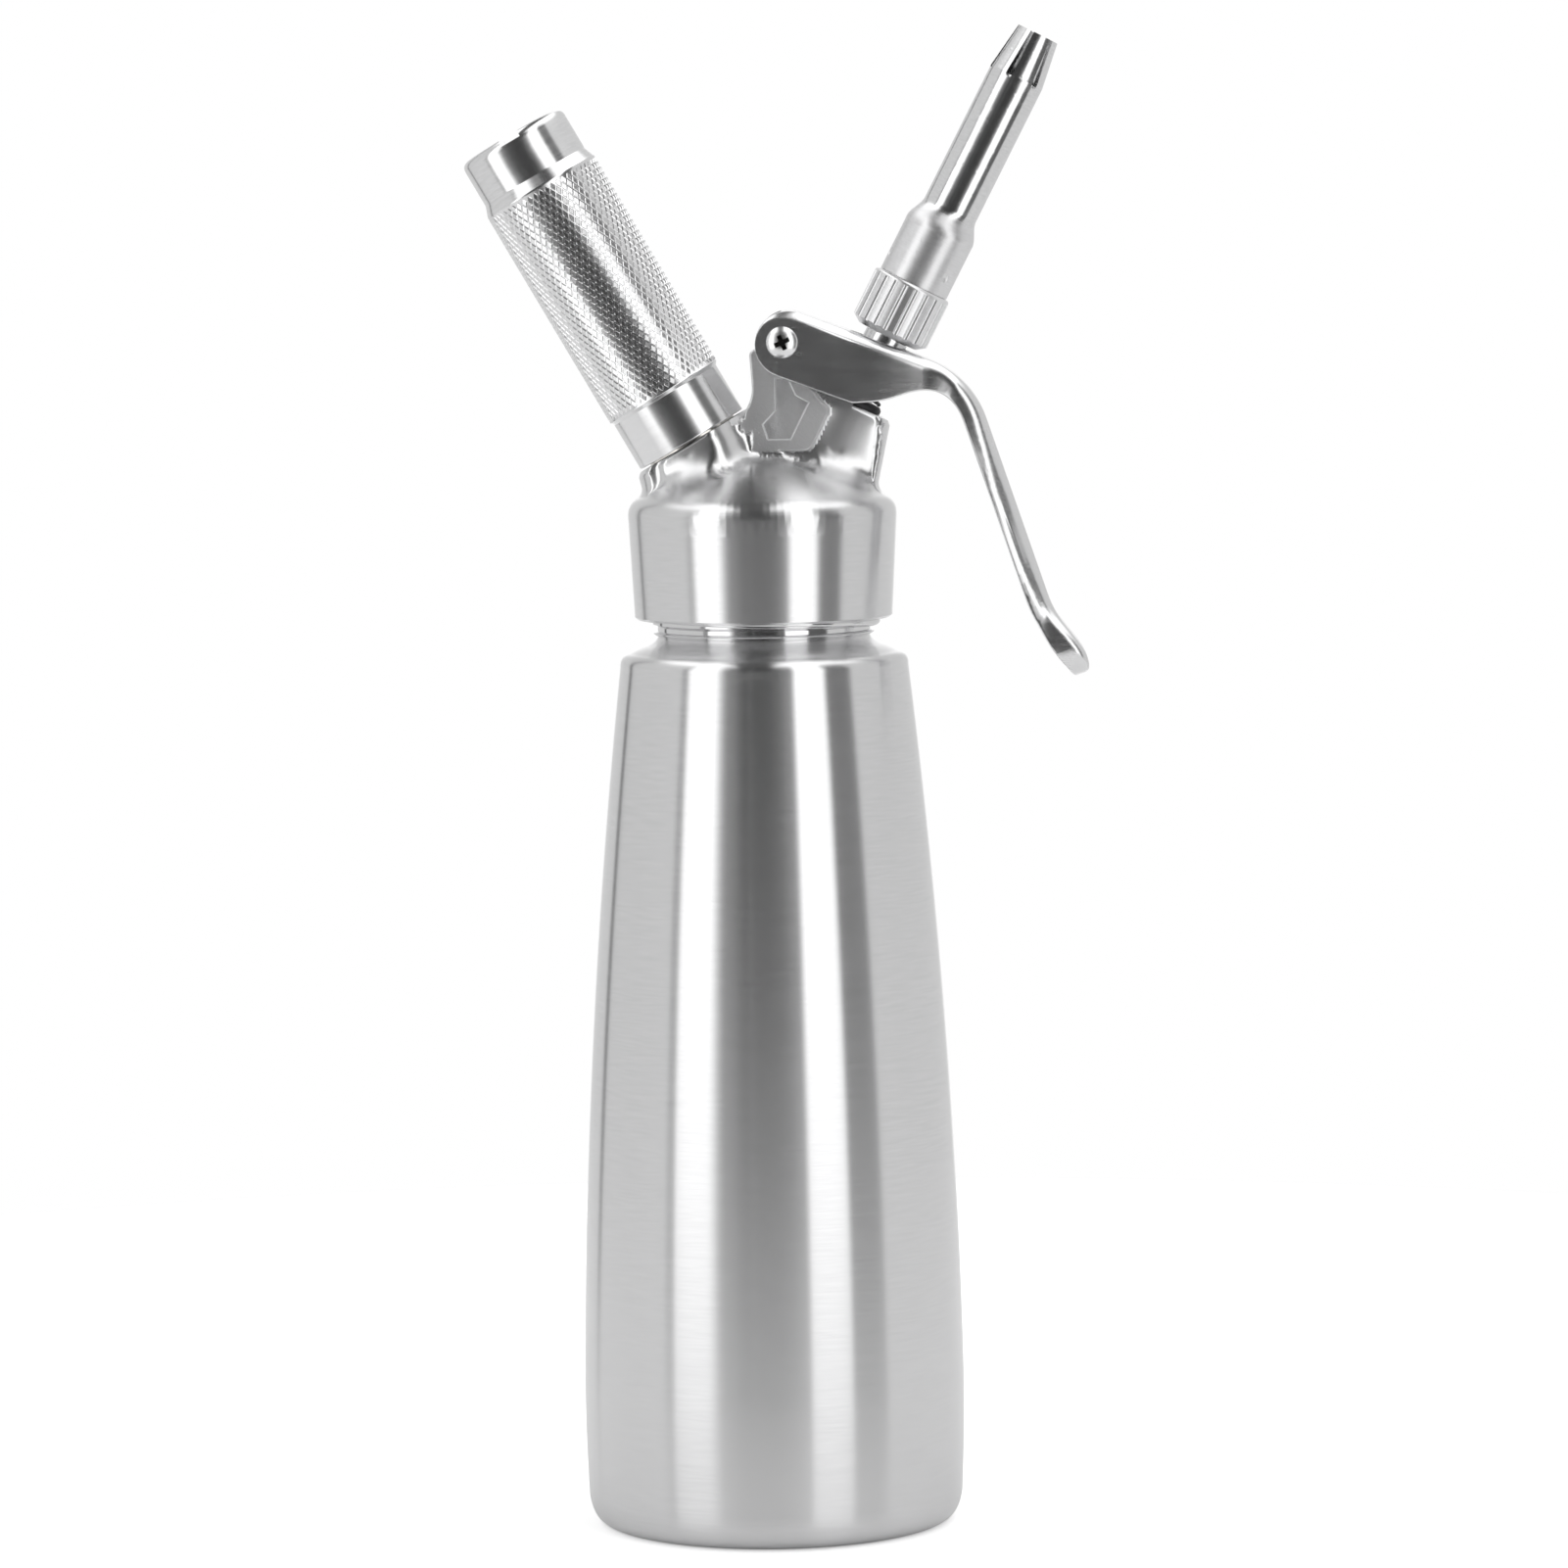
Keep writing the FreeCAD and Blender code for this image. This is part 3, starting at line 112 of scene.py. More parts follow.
# --- Threads, tip, screw ---
# Steps go round one turn of a ridge, and sides round its section.
NECK_RIDGE = {"Radius": 23.65, "Ridge": 0.62, "Pitch": 4.0, "Turns": 3.4, "Low": 191.2,
              "Steps": 96, "Sides": 12}
STUD_RIDGE = {"Radius": 9.95, "Ridge": 0.42, "Pitch": 2.0, "Turns": 3.6, "Low": 0.8,
              "Steps": 72, "Sides": 4}
NOZZLE_RIDGE = {"Radius": 3.95, "Ridge": 0.27, "Pitch": 1.5, "Turns": 5.6, "Low": 16.2,
                "Steps": 48, "Sides": 4}
TUBE_START = 0.0455  # metres up the valve's axis, where the star tip's tube begins
SATIN_FADE = 0.003  # metres
SCREW_HEAD_R = 3.3
SCREW_HEAD_H = 1.5
SCREW_RIM = 0.35
SCREW_DOME_STEPS = 12
SCREW_SEAT = 9.0  # from the lever's middle plane to under the head
SCREW_END = -5.9
SCREW_SHANK_R = 1.5
RECESS_WIDTH = 1.1
RECESS_SPAN = 4.0
RECESS_DEPTH = 1.9
RECESS_TURN = 24.0
RECESS_FLOOR_SPAN = 0.42  # the recess's floor, as shares of its opening
RECESS_FLOOR_WIDTH = 0.6

# --- Head casting ---
COLLAR_TOP_Z = 215.0
CAST_X = (-26.0, 27.0)  # the casting's sides lie between these
CAST_Y = (-20.0, 20.0)
CAST_Z = (214.0, 243.0)
CAST_SIDE_Y = 4.5  # and farther out than this
SKIN_Y = 4.2  # large faces beyond this and above the next are cut before they are bent
SKIN_Z = 212.0
LONG_EDGE = 1.2  # a large face has an edge longer than this many slices
OVERHANG = -0.5  # faces that look down more than this keep their shape,
BOSS_BORE = 0.0104  # and so does what is nearer the holder's axis than this, in metres,
TOWER_BORE = 0.0052  # or nearer the valve's
DOME_EDGE_R = 26.45
DOME_R = 49.24  # the dome is an arc of this radius
DOME_CENTRE_R = -1.075
DOME_CENTRE_Z = 176.77
DOME_MARGIN = 0.3  # nearer its edge than this the dome keeps its shape
BOSS_HALF = 11.6  # half the thickness over the charger boss,
BOSS_CROWN_R = 62.0  # whose sides are barrel-shaped
BOSS_CROWN_X = -3.0
BOSS_INNER_Y = 7.5
BOSS_END_X = 2.0
TOWER_HALF = 6.7  # over the valve tower,
TOWER_CROWN_R = 62.0
TOWER_CROWN_X = 8.0
TOWER_EASE_Z = (226.0, 238.0)  # between these heights the tower loses half its crown
POST_HALF = 7.1  # over the lever's bracket,
POCKET_HALF = 5.4  # and between the floors of its two pockets
TRIM_X = -4.5  # the boss's face ends at a slope that leans by TRIM_LEAN
TRIM_Z = 234.5
TRIM_LEAN = math.radians(23)
TRIM_WIDTH = 7.5
TRIM_FOOT = 0.4
TRIM_END_X = 9.0
BLEND_ROUNDS = 32  # rounds of smoothing over the polished sides
BLEND_LOW = 217.9
BLEND_INNER_Y = 4.0
BLEND_MARGIN = 0.6
BLEND_BOSS_BORE = 0.0106  # metres
BLEND_TOWER_BORE = 0.0064
HOLDER_WAY = (-0.5, 0.866)  # the two axes' slopes, across and up
VALVE_WAY = (0.4586, 0.8886)
RIM = 1.6  # band under the boss's and the tower's tops that stays crisp
FOOT_ROUND = 2.5
WIDE_FOOT_ROUND = 5.0
LEAST_ROUND = 0.5
BOSS_FOOT = (-21.0, -16.0, -11.0, -7.5)  # x where the wide blend starts, is full, fades and ends
TOWER_FOOT = (9.0, 13.0, 19.5, 23.5)
SLICE = 0.5  # between the cuts that let the casting's sides bend
NEARLY = 0.05  # slack when a face is found by its distance
POCKET_LIFT = 0.15  # relief on the pockets' floors
POCKET_LIFT_MOST = 0.6
POCKET_LUMPS = 0.3  # how close together its lumps are: more is closer
AS_CAST_Z = 226.5  # above this the bracket keeps its rough skin, on its sides,
AS_CAST_Y = 5.0  # which are farther out than this,
AS_CAST_BACK_X = (-6.0, 1.0)  # and on its back, between these x
AS_CAST_BACK_Z = 233.0  # and above this height
POST_OUTLINE = [(-1.9, 227.3), (-1.5, 231.6), (-4.2, 231.6), (-3.4, 236.0), (-2.3, 238.2), (-1.9, 240.8),
                (-2.4, 247.4), (-1.0, 250.0), (4.0, 256.0), (9.9, 250.0), (10.0, 241.7), (13.5, 237.4),
                (14.5, 236.4), (14.6, 235.0), (11.7, 229.0), (10.5, 227.5), (8.5, 227.2)]

# --- Lever ---
ARM_LEAN = math.radians(71.4)  # the lever's arm, below the level
ARM_START_X = 41.5  # a point at the arm's inner edge, just past the bend
ARM_START_Z = 226.0
ARM_LENGTH = 48.0
ARM_DRAFT = 0.03  # slope of the arm's sides at their inner edge,
ARM_CURVE = 0.052  # and how fast it grows outwards
ARM_DEPTH = 5.0
DRAFT_DEPTH = 6.0
ARM_EASE_IN = 14.0  # the draft comes in over this length, and fades out from here
ARM_EASE_OUT = 36.0
CHEEK_CROWN_X = 12.0  # the cheeks' barrel shape starts here
CHEEK_CROWN_R = 200.0
CHEEK_END_X = 34.0
LEVER_X = (-2.0, 40.0)
LEVER_SLICES = (1.5, 0.6, 2.0)  # between cuts: along the lever, and across and along its arm
ARM_LEAD = 6.0  # cuts start this far before the arm
FLAT = 0.97  # faces that look sideways more than this are flat sides
SIDE_Y = 5.0  # the lever's sides lie farther out than this
MIDDLE_Y = 4.0  # and what lies nearer the middle moves less

# --- Head and lever alike ---
CREASE = 32.0  # edges sharper than this many degrees stay crisp
JOINED = 2e-6  # metres: points nearer than this are one


def joint(name):
    """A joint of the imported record."""
    return next(j for j in frame["joints"] if j["name"] == name)


def axis_frame(point, direction):
    """Millimetres along and about an axis, to metres in the frame."""
    up = Vector(direction).normalized()
    away = Vector((0, 1, 0))
    side = away.cross(up).normalized()
    turn = Matrix((side, up.cross(side), up)).transposed().to_4x4()
    return Matrix.Translation(Vector(point)) @ turn @ Matrix.Scale(MM, 4)


HOLDER_AXIS = joint("holder_turn")
VALVE_AXIS = joint("nozzle_turn")
PIVOT = Vector(joint("lever_squeeze")["pos_m"])
UPRIGHT = Matrix.Scale(MM, 4)
ON_HOLDER = axis_frame(HOLDER_AXIS["pos_m"], HOLDER_AXIS["axis"])
ON_VALVE = axis_frame(VALVE_AXIS["pos_m"], VALVE_AXIS["axis"])
ON_PIVOT = Matrix.Translation(PIVOT) @ Matrix.Rotation(math.radians(90), 4, "X") @ Matrix.Scale(MM, 4)
PIVOT_AXIS = {"pos_m": tuple(PIVOT), "axis": (0, 1, 0)}
BOTTLE_AXIS = {"pos_m": (0, 0, 0), "axis": (0, 0, 1)}


# --- Node helpers ---

def wire(tree, socket, value):
    """Give an input a value, or join it to another node's output."""
    if isinstance(value, bpy.types.NodeSocket):
        tree.links.new(value, socket)
    else:
        socket.default_value = value


def add(tree, kind, values=(), **settings):
    """A node with its settings. values are its inputs, in order or by name."""
    made = tree.nodes.new(kind)
    for key, value in settings.items():
        setattr(made, key, value)
    pairs = values.items() if isinstance(values, dict) else enumerate(values)
    for key, value in pairs:
        if value is not None:
            wire(tree, made.inputs[key], value)
    return made


def maths(tree, operation, *values):
    """The output of one sum."""
    return add(tree, "ShaderNodeMath", values, operation=operation).outputs[0]


def times(tree, first, second):
    """The product of two values."""
    return maths(tree, "MULTIPLY", first, second)


def vectors(tree, operation, *values):
    """The output of one sum with vectors."""
    made = add(tree, "ShaderNodeVectorMath", values, operation=operation)
    return made.outputs["Value" if operation in ("LENGTH", "DOT_PRODUCT") else "Vector"]


def stretched(tree, vector, factor):
    """A vector times a factor."""
    made = add(tree, "ShaderNodeVectorMath", [vector], operation="SCALE")
    wire(tree, made.inputs["Scale"], factor)
    return made.outputs["Vector"]


def remap(tree, value, low, high, new_low, new_high, curve="LINEAR"):
    """A value moved from one range to another, and kept inside it."""
    made = add(tree, "ShaderNodeMapRange", {"Value": value, "From Min": low, "From Max": high,
                                            "To Min": new_low, "To Max": new_high})
    made.interpolation_type = curve
    return made.outputs["Result"]


def mixed(tree, factor, first, second, label=""):
    """A value between two others."""
    made = add(tree, "ShaderNodeMix", {"Factor": factor, 2: first, 3: second}, label=label)
    return made.outputs[0]


def blend(tree, first, second, share):
    """The sum of two values, by a share of the second."""
    return maths(tree, "ADD", times(tree, first, 1.0 - share), times(tree, second, share))


def noise(tree, vector, scale, detail=2.0, rough=0.5):
    """The grey value of a noise."""
    made = add(tree, "ShaderNodeTexNoise", {"Vector": vector, "Scale": scale, "Detail": detail,
                                            "Roughness": rough})
    return made.outputs["Fac"]


# --- Materials ---

GRAIN_LEAN = 0.4  # how far the brushing's direction leans away from the axis


class Finish:
    """A material with one Principled shader, and the patterns that its makers share."""

    def __init__(self, name, colour, roughness, metallic=1.0, anisotropy=0.0, specular=None):
        self.material = bpy.data.materials.new(name)
        self.material.use_nodes = True
        self.tree = self.material.node_tree
        self.tree.nodes.clear()
        self.shader = add(self.tree, "ShaderNodeBsdfPrincipled", {
            "Base Color": (*colour, 1.0), "Roughness": roughness, "Metallic": metallic,
            "Anisotropic": anisotropy})
        if specular is not None:
            self.shader.inputs["Specular IOR Level"].default_value = specular
        output = add(self.tree, "ShaderNodeOutputMaterial")
        self.tree.links.new(self.shader.outputs[0], output.inputs["Surface"])
        self.place = add(self.tree, "ShaderNodeTexCoord").outputs["Object"]

    def round_axis(self, line):
        """Height along a line, distance from it, and the direction away from it. What is
        brushed is brushed round that line."""
        tree = self.tree
        self.axis = tuple(Vector(line["axis"]).normalized())
        apart = vectors(tree, "SUBTRACT", self.place, tuple(line["pos_m"]))
        self.height = vectors(tree, "DOT_PRODUCT", apart, self.axis)
        along = stretched(tree, self.axis, self.height)
        spoke = vectors(tree, "SUBTRACT", apart, along)
        self.reach = vectors(tree, "LENGTH", spoke)
        self.spoke = vectors(tree, "NORMALIZE", spoke)
        grain = vectors(tree, "ADD", stretched(tree, self.spoke, GRAIN_LEAN), self.axis)
        wire(tree, self.shader.inputs["Tangent"], grain)

    def turning_lines(self, streak, pitch):
        """Fine lines round the axis: streak sets how short they are, pitch how far apart."""
        tree = self.tree
        travel = maths(tree, "ADD", self.height, self.reach)
        rise = stretched(tree, self.axis, maths(tree, "DIVIDE", travel, pitch))
        lines = vectors(tree, "ADD", stretched(tree, self.spoke, streak), rise)
        return noise(tree, lines, 1.0, 2.0, 0.6)

    def colour_between(self, factor, dark, light):
        """The base colour, between two others."""
        made = add(self.tree, "ShaderNodeMix", {"Factor": factor, 6: (*dark, 1.0), 7: (*light, 1.0)},
                   data_type="RGBA")
        wire(self.tree, self.shader.inputs["Base Color"], made.outputs[2])

    def ringed_colour(self, fine, dark, light):
        """The base colour, between two others by the fine rings."""
        self.colour_between(remap(self.tree, fine, 0.3, 0.7, 0.0, 1.0), dark, light)

    def roughness_from(self, factor, low, high):
        """The roughness, from a pattern's middle half."""
        wire(self.tree, self.shader.inputs["Roughness"], remap(self.tree, factor, 0.25, 0.75, low, high))

    def bump(self, height, strength, distance, below=None):
        """Fine relief, on top of another if one is given."""
        made = add(self.tree, "ShaderNodeBump", {"Strength": strength, "Distance": distance,
                                                 "Height": height})
        if below is not None:
            wire(self.tree, made.inputs["Normal"], below)
        wire(self.tree, self.shader.inputs["Normal"], made.outputs["Normal"])
        return made.outputs["Normal"]


def brushed_bottle():
    """Deep-drawn steel, brushed round and round on a lathe, with a polished neck."""
    made = Finish("brushed_bottle_steel", (0.76, 0.76, 0.765), 0.3, anisotropy=1.0)
    tree = made.tree
    made.round_axis(BOTTLE_AXIS)
    fine = made.turning_lines(5.0, 0.00035)
    coarse = made.turning_lines(2.0, 0.0016)
    cloud = noise(tree, made.place, 22.0, 3.0)
    both = blend(tree, fine, coarse, 0.2)
    made.ringed_colour(both, (0.74, 0.74, 0.745), (0.79, 0.79, 0.795))
    brushed = remap(tree, blend(tree, both, cloud, 0.4), 0.3, 0.7, 0.235, 0.265)
    polish = remap(tree, made.height, *POLISHED_NECK, 1.0, 0.5)
    wire(tree, made.shader.inputs["Roughness"], times(tree, brushed, polish))
    made.bump(fine, 0.2, 0.00001)
    return made.material


def turned_collar():
    """The head's collar, turned smooth, with faint rings round it."""
    made = Finish("turned_collar_steel", (0.76, 0.76, 0.765), 0.27, anisotropy=0.9)
    made.round_axis(BOTTLE_AXIS)
    made.ringed_colour(made.turning_lines(5.0, 0.00035), (0.745, 0.745, 0.75), (0.785, 0.785, 0.79))
    return made.material


def cast_head():
    """The head's casting above its collar: polished sides, and rough skin on the bracket."""
    made = Finish("satin_cast_steel", (0.76, 0.76, 0.765), 0.3, anisotropy=0.9)
    tree = made.tree
    made.round_axis(BOTTLE_AXIS)
    fine = made.turning_lines(4.0, 0.0004)
    grain = noise(tree, made.place, 2200.0, 3.0, 0.7)
    lumps = noise(tree, made.place, 700.0, 3.0, 0.6)
    rough_skin = add(tree, "ShaderNodeAttribute", attribute_name="as_cast").outputs["Fac"]
    rings = remap(tree, fine, 0.3, 0.7, 0.0, 0.12)
    tone = maths(tree, "ADD", rings, times(tree, rough_skin, 0.88))
    made.colour_between(tone, (0.75, 0.75, 0.755), (0.94, 0.94, 0.945))
    skin = remap(tree, lumps, 0.3, 0.7, 0.55, 0.68)
    wire(tree, made.shader.inputs["Roughness"], mixed(tree, rough_skin, 0.27, skin))
    made.bump(times(tree, maths(tree, "ADD", lumps, grain), rough_skin), 0.6, 0.0001)
    return made.material


def polished_lever():
    """Pressed steel, polished by hand: soft waves, and fine rubbing across them."""
    made = Finish("polished_lever_steel", (0.80, 0.80, 0.805), 0.16)
    tree = made.tree
    rubbed = vectors(tree, "MULTIPLY", made.place, (160.0, 900.0, 1400.0))
    swirl = noise(tree, rubbed, 1.0, 3.0)
    cloud = noise(tree, made.place, 60.0, 2.0)
    slow = noise(tree, made.place, 34.0, 1.0)
    made.colour_between(cloud, (0.77, 0.77, 0.775), (0.83, 0.83, 0.835))
    made.roughness_from(blend(tree, swirl, cloud, 0.5), 0.2, 0.3)
    waves = made.bump(slow, 1.0, 0.0022)
    made.bump(swirl, 0.15, 0.00001, waves)
    return made.material


def turned_metal(name, colour, rough, line, streak=3.0, pitch=0.00025, anisotropy=0.7, cut=0.3):
    """Bar metal turned or polished on a lathe, with fine rings round its own axis."""
    made = Finish(name, colour, rough, anisotropy=anisotropy)
    made.round_axis(line)
    fine = made.turning_lines(streak, pitch)
    cloud = noise(made.tree, made.place, 120.0, 2.0)
    made.ringed_colour(fine, [c - 0.04 for c in colour], [c + 0.03 for c in colour])
    made.roughness_from(blend(made.tree, fine, cloud, 0.4), rough * 0.85, rough * 1.2)
    made.bump(fine, cut, 0.00001)
    return made.material


def tip_steel():
    """The star tip: satin on its bell and polished up its tube, with a few fine nicks."""
    made = Finish("star_tip_steel", (0.8, 0.8, 0.805), 0.2, anisotropy=0.5)
    tree = made.tree
    made.round_axis(VALVE_AXIS)
    fine = made.turning_lines(3.0, 0.00025)
    nicks = noise(tree, made.place, 1100.0, 2.0)
    cloud = noise(tree, made.place, 160.0, 2.0)
    made.ringed_colour(fine, (0.76, 0.76, 0.765), (0.83, 0.83, 0.835))
    satin = remap(tree, made.height, TUBE_START - SATIN_FADE, TUBE_START, 1.0, 0.0, "SMOOTHSTEP")
    polish = remap(tree, cloud, 0.3, 0.7, 0.13, 0.2)
    matt = remap(tree, fine, 0.3, 0.7, 0.36, 0.44)
    wire(tree, made.shader.inputs["Roughness"], mixed(tree, satin, polish, matt))
    marks = made.bump(remap(tree, nicks, 0.62, 0.78, 0.0, 1.0), 0.35, 0.00004)
    made.bump(cloud, 0.6, 0.0001, marks)
    return made.material


def screw_steel():
    """Bright screw steel, with painted shade: near black on the floor of the head's recess."""
    made = Finish("bright_screw_steel", (0.86, 0.86, 0.865), 0.24)
    tree = made.tree
    cloud = noise(tree, made.place, 900.0, 2.0)
    # Painted shade: the recess attribute marks the recess floor, which is coloured near black below.
    painted_recess_shade = add(tree, "ShaderNodeAttribute", attribute_name="recess").outputs["Fac"]
    made.colour_between(remap(tree, painted_recess_shade, 0.0, 0.5, 0.0, 1.0), (0.86, 0.86, 0.865), (0.1, 0.1, 0.1))
    made.roughness_from(cloud, 0.2, 0.28)
    made.bump(cloud, 0.2, 0.00002)
    return made.material


def silicone(name, colour):
    """Rubber, silicone or matt plastic with a fine grain."""
    made = Finish(name, colour, 0.55, metallic=0.0, specular=0.4)
    grain = noise(made.tree, made.place, 900.0, 3.0)
    made.colour_between(grain, [c * 0.85 for c in colour], [min(1.0, c * 1.12) for c in colour])
    made.roughness_from(grain, 0.48, 0.62)
    made.bump(grain, 0.2, 0.00003)
    return made.material


# --- Mesh helpers ---

def new_piece(name, mesh, body, slot, material, *nodes):
    """A piece that rides on a body, wears a material, and may stand for CAD nodes."""
    piece = bpy.data.objects.new(name, mesh)
    scene.collection.objects.link(piece)
    mesh.materials.clear()
    mesh.materials.append(material)
    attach(piece, body)
    if nodes:
        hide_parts(*nodes)


def mesh_of(shape, name):
    """A plain mesh from a bmesh, which it frees."""
    mesh = bpy.data.meshes.new(name)
    shape.to_mesh(mesh)
    shape.free()
    return mesh


def smooth_faces(mesh, angle=30.0):
    """Smooth shading, with edges sharper than an angle kept crisp."""
    mesh.polygons.foreach_set("use_smooth", [True] * len(mesh.polygons))
    mesh.set_sharp_from_angle(angle=math.radians(angle))


def rounded_corner(before, corner, after, radius, steps=6):
    """Points of an arc of about that radius in place of an outline's corner."""
    a, c, b = Vector(before), Vector(corner), Vector(after)
    back = (a - c).normalized()
    ahead = (b - c).normalized()
    half = back.angle(ahead) / 2
    cut = min(radius / math.tan(half), 0.5 * (a - c).length, 0.5 * (b - c).length)
    start = c + back * cut
    end = c + ahead * cut
    points = []
    for number in range(steps + 1):
        t = number / steps
        points.append(tuple(start * (1 - t) ** 2 + c * 2 * t * (1 - t) + end * t ** 2))
    return points


def eased(outline, radii):
    """A closed outline with some corners rounded. radii maps a corner's number to a radius."""
    points = []
    count = len(outline)
    for number, corner in enumerate(outline):
        radius = radii.get(number, 0)
        if radius:
            points += rounded_corner(outline[number - 1], corner, outline[(number + 1) % count], radius)
        else:
            points.append(corner)
    return points


def lathe(name, outline, place, segments=128):
    """A closed surface of revolution from a closed outline of (radius, height) points that
    runs with the metal on its left. Points on the axis become poles."""
    shape = bmesh.new()
    rings = []
    for radius, height in outline:
        if radius < 1e-6:
            rings.append([shape.verts.new((0, 0, height))])
        else:
            rings.append([shape.verts.new((radius * math.cos(2 * math.pi * k / segments),
                                           radius * math.sin(2 * math.pi * k / segments), height))
                          for k in range(segments)])
    for first, second in zip(rings, rings[1:] + rings[:1]):
        for k in range(segments):
            after = (k + 1) % segments
            if len(first) == 1 and len(second) == 1:
                break
            if len(first) == 1:
                shape.faces.new((first[0], second[after], second[k]))
            elif len(second) == 1:
                shape.faces.new((first[k], first[after], second[0]))
            else:
                shape.faces.new((first[k], first[after], second[after], second[k]))
    bmesh.ops.recalc_face_normals(shape, faces=shape.faces)
    shape.transform(place)
    mesh = mesh_of(shape, name)
    smooth_faces(mesh)
    return mesh


def cut_mesh(mesh, cutter):
    """A mesh with another cut out of it."""
    body = bpy.data.objects.new("blank", mesh)
    tool = bpy.data.objects.new("cutter", cutter)
    for made in (body, tool):
        scene.collection.objects.link(made)
    cut = body.modifiers.new("cut", "BOOLEAN")
    cut.operation = "DIFFERENCE"
    cut.solver = "EXACT"
    cut.object = tool
    depsgraph = bpy.context.evaluated_depsgraph_get()
    result = bpy.data.meshes.new_from_object(body.evaluated_get(depsgraph), depsgraph=depsgraph)
    bpy.data.objects.remove(body)
    bpy.data.objects.remove(tool)
    result.name = mesh.name
    smooth_faces(result)
    return result


def box_mesh(name, low, high):
    """A plain box between two corners, as a cutter."""
    shape = bmesh.new()
    bmesh.ops.create_cube(shape, size=1.0)
    low, high = Vector(low), Vector(high)
    shape.transform(Matrix.Translation((low + high) / 2) @ Matrix.Diagonal((*(high - low), 1)))
    return mesh_of(shape, name)


# --- Geometry node trees ---

def new_tree(name, inputs):
    """A geometry tree with named inputs. Gives the tree, its input node and its output node."""
    tree = bpy.data.node_groups.new(name, "GeometryNodeTree")
    tree.interface.new_socket("Geometry", in_out="OUTPUT", socket_type="NodeSocketGeometry")
    for label, value in inputs.items():
        kind = "NodeSocketInt" if isinstance(value, int) else "NodeSocketFloat"
        socket = tree.interface.new_socket(label, in_out="INPUT", socket_type=kind)
        socket.default_value = value
    return tree, add(tree, "NodeGroupInput"), add(tree, "NodeGroupOutput")


def finish_tree(tree, geometry, output, material):
    """Real copies in their own metal, to the tree's output."""
    real = add(tree, "GeometryNodeRealizeInstances", [geometry])
    dressed = add(tree, "GeometryNodeSetMaterial", {"Geometry": real.outputs[0], "Material": material})
    tree.links.new(dressed.outputs[0], output.inputs[0])


def grown(name, tree, values, place):
    """The plain mesh that a tree makes with these values."""
    carrier = bpy.data.objects.new(name, bpy.data.meshes.new(name))
    scene.collection.objects.link(carrier)
    modifier = carrier.modifiers.new("maker", "NODES")
    modifier.node_group = tree
    for item in tree.interface.items_tree:
        if item.in_out == "INPUT" and item.name in values:
            modifier[item.identifier] = values[item.name]
    depsgraph = bpy.context.evaluated_depsgraph_get()
    mesh = bpy.data.meshes.new_from_object(carrier.evaluated_get(depsgraph), depsgraph=depsgraph)
    bpy.data.objects.remove(carrier)
    mesh.name = name
    mesh.transform(place)
    return mesh


def knurl_tree(material):
    """Diamonds in staggered rows round a cylinder, each a low pyramid with a flat top."""
    tree, given, output = new_tree("diamond_knurl", {
        "Radius": HOLDER_GRIP_R, "Depth": KNURL_DEPTH, "Starts": KNURL_STARTS, "Rows": 1,
        "Row Pitch": 1.0, "Low": KNURL_LOW, "Flat Share": KNURL_TOP})
    ask = given.outputs
    count = times(tree, ask["Starts"], ask["Rows"])
    points = add(tree, "GeometryNodePoints", {"Count": count})
    index = add(tree, "GeometryNodeInputIndex").outputs[0]
    row = maths(tree, "FLOOR", maths(tree, "DIVIDE", maths(tree, "ADD", index, 0.5), ask["Starts"]))
    step = maths(tree, "SUBTRACT", index, times(tree, row, ask["Starts"]))
    shift = times(tree, maths(tree, "MODULO", row, 2.0), 0.5)
    share = maths(tree, "DIVIDE", maths(tree, "ADD", step, shift), ask["Starts"])
    angle = times(tree, share, 2 * math.pi)
    root = maths(tree, "SUBTRACT", ask["Radius"], ask["Depth"])
    place = add(tree, "ShaderNodeCombineXYZ", [
        times(tree, root, maths(tree, "COSINE", angle)),
        times(tree, root, maths(tree, "SINE", angle)),
        maths(tree, "ADD", ask["Low"], times(tree, row, ask["Row Pitch"]))])
    moved = add(tree, "GeometryNodeSetPosition", {"Geometry": points.outputs[0],
                                                  "Position": place.outputs[0]})
    diamond = add(tree, "GeometryNodeMeshCone", {
        "Vertices": 4, "Radius Top": ask["Flat Share"], "Radius Bottom": 1.0, "Depth": ask["Depth"]})
    half_round = maths(tree, "DIVIDE", times(tree, ask["Radius"], math.pi), ask["Starts"])
    size = add(tree, "ShaderNodeCombineXYZ", [ask["Row Pitch"], half_round, 1.0])
    turn = add(tree, "ShaderNodeCombineXYZ", [0.0, math.pi / 2, angle])
    rotation = add(tree, "FunctionNodeEulerToRotation", [turn.outputs[0]])
    copies = add(tree, "GeometryNodeInstanceOnPoints", {
        "Points": moved.outputs[0], "Instance": diamond.outputs[0],
        "Rotation": rotation.outputs[0], "Scale": size.outputs[0]})
    finish_tree(tree, copies.outputs[0], output, material)
    return tree


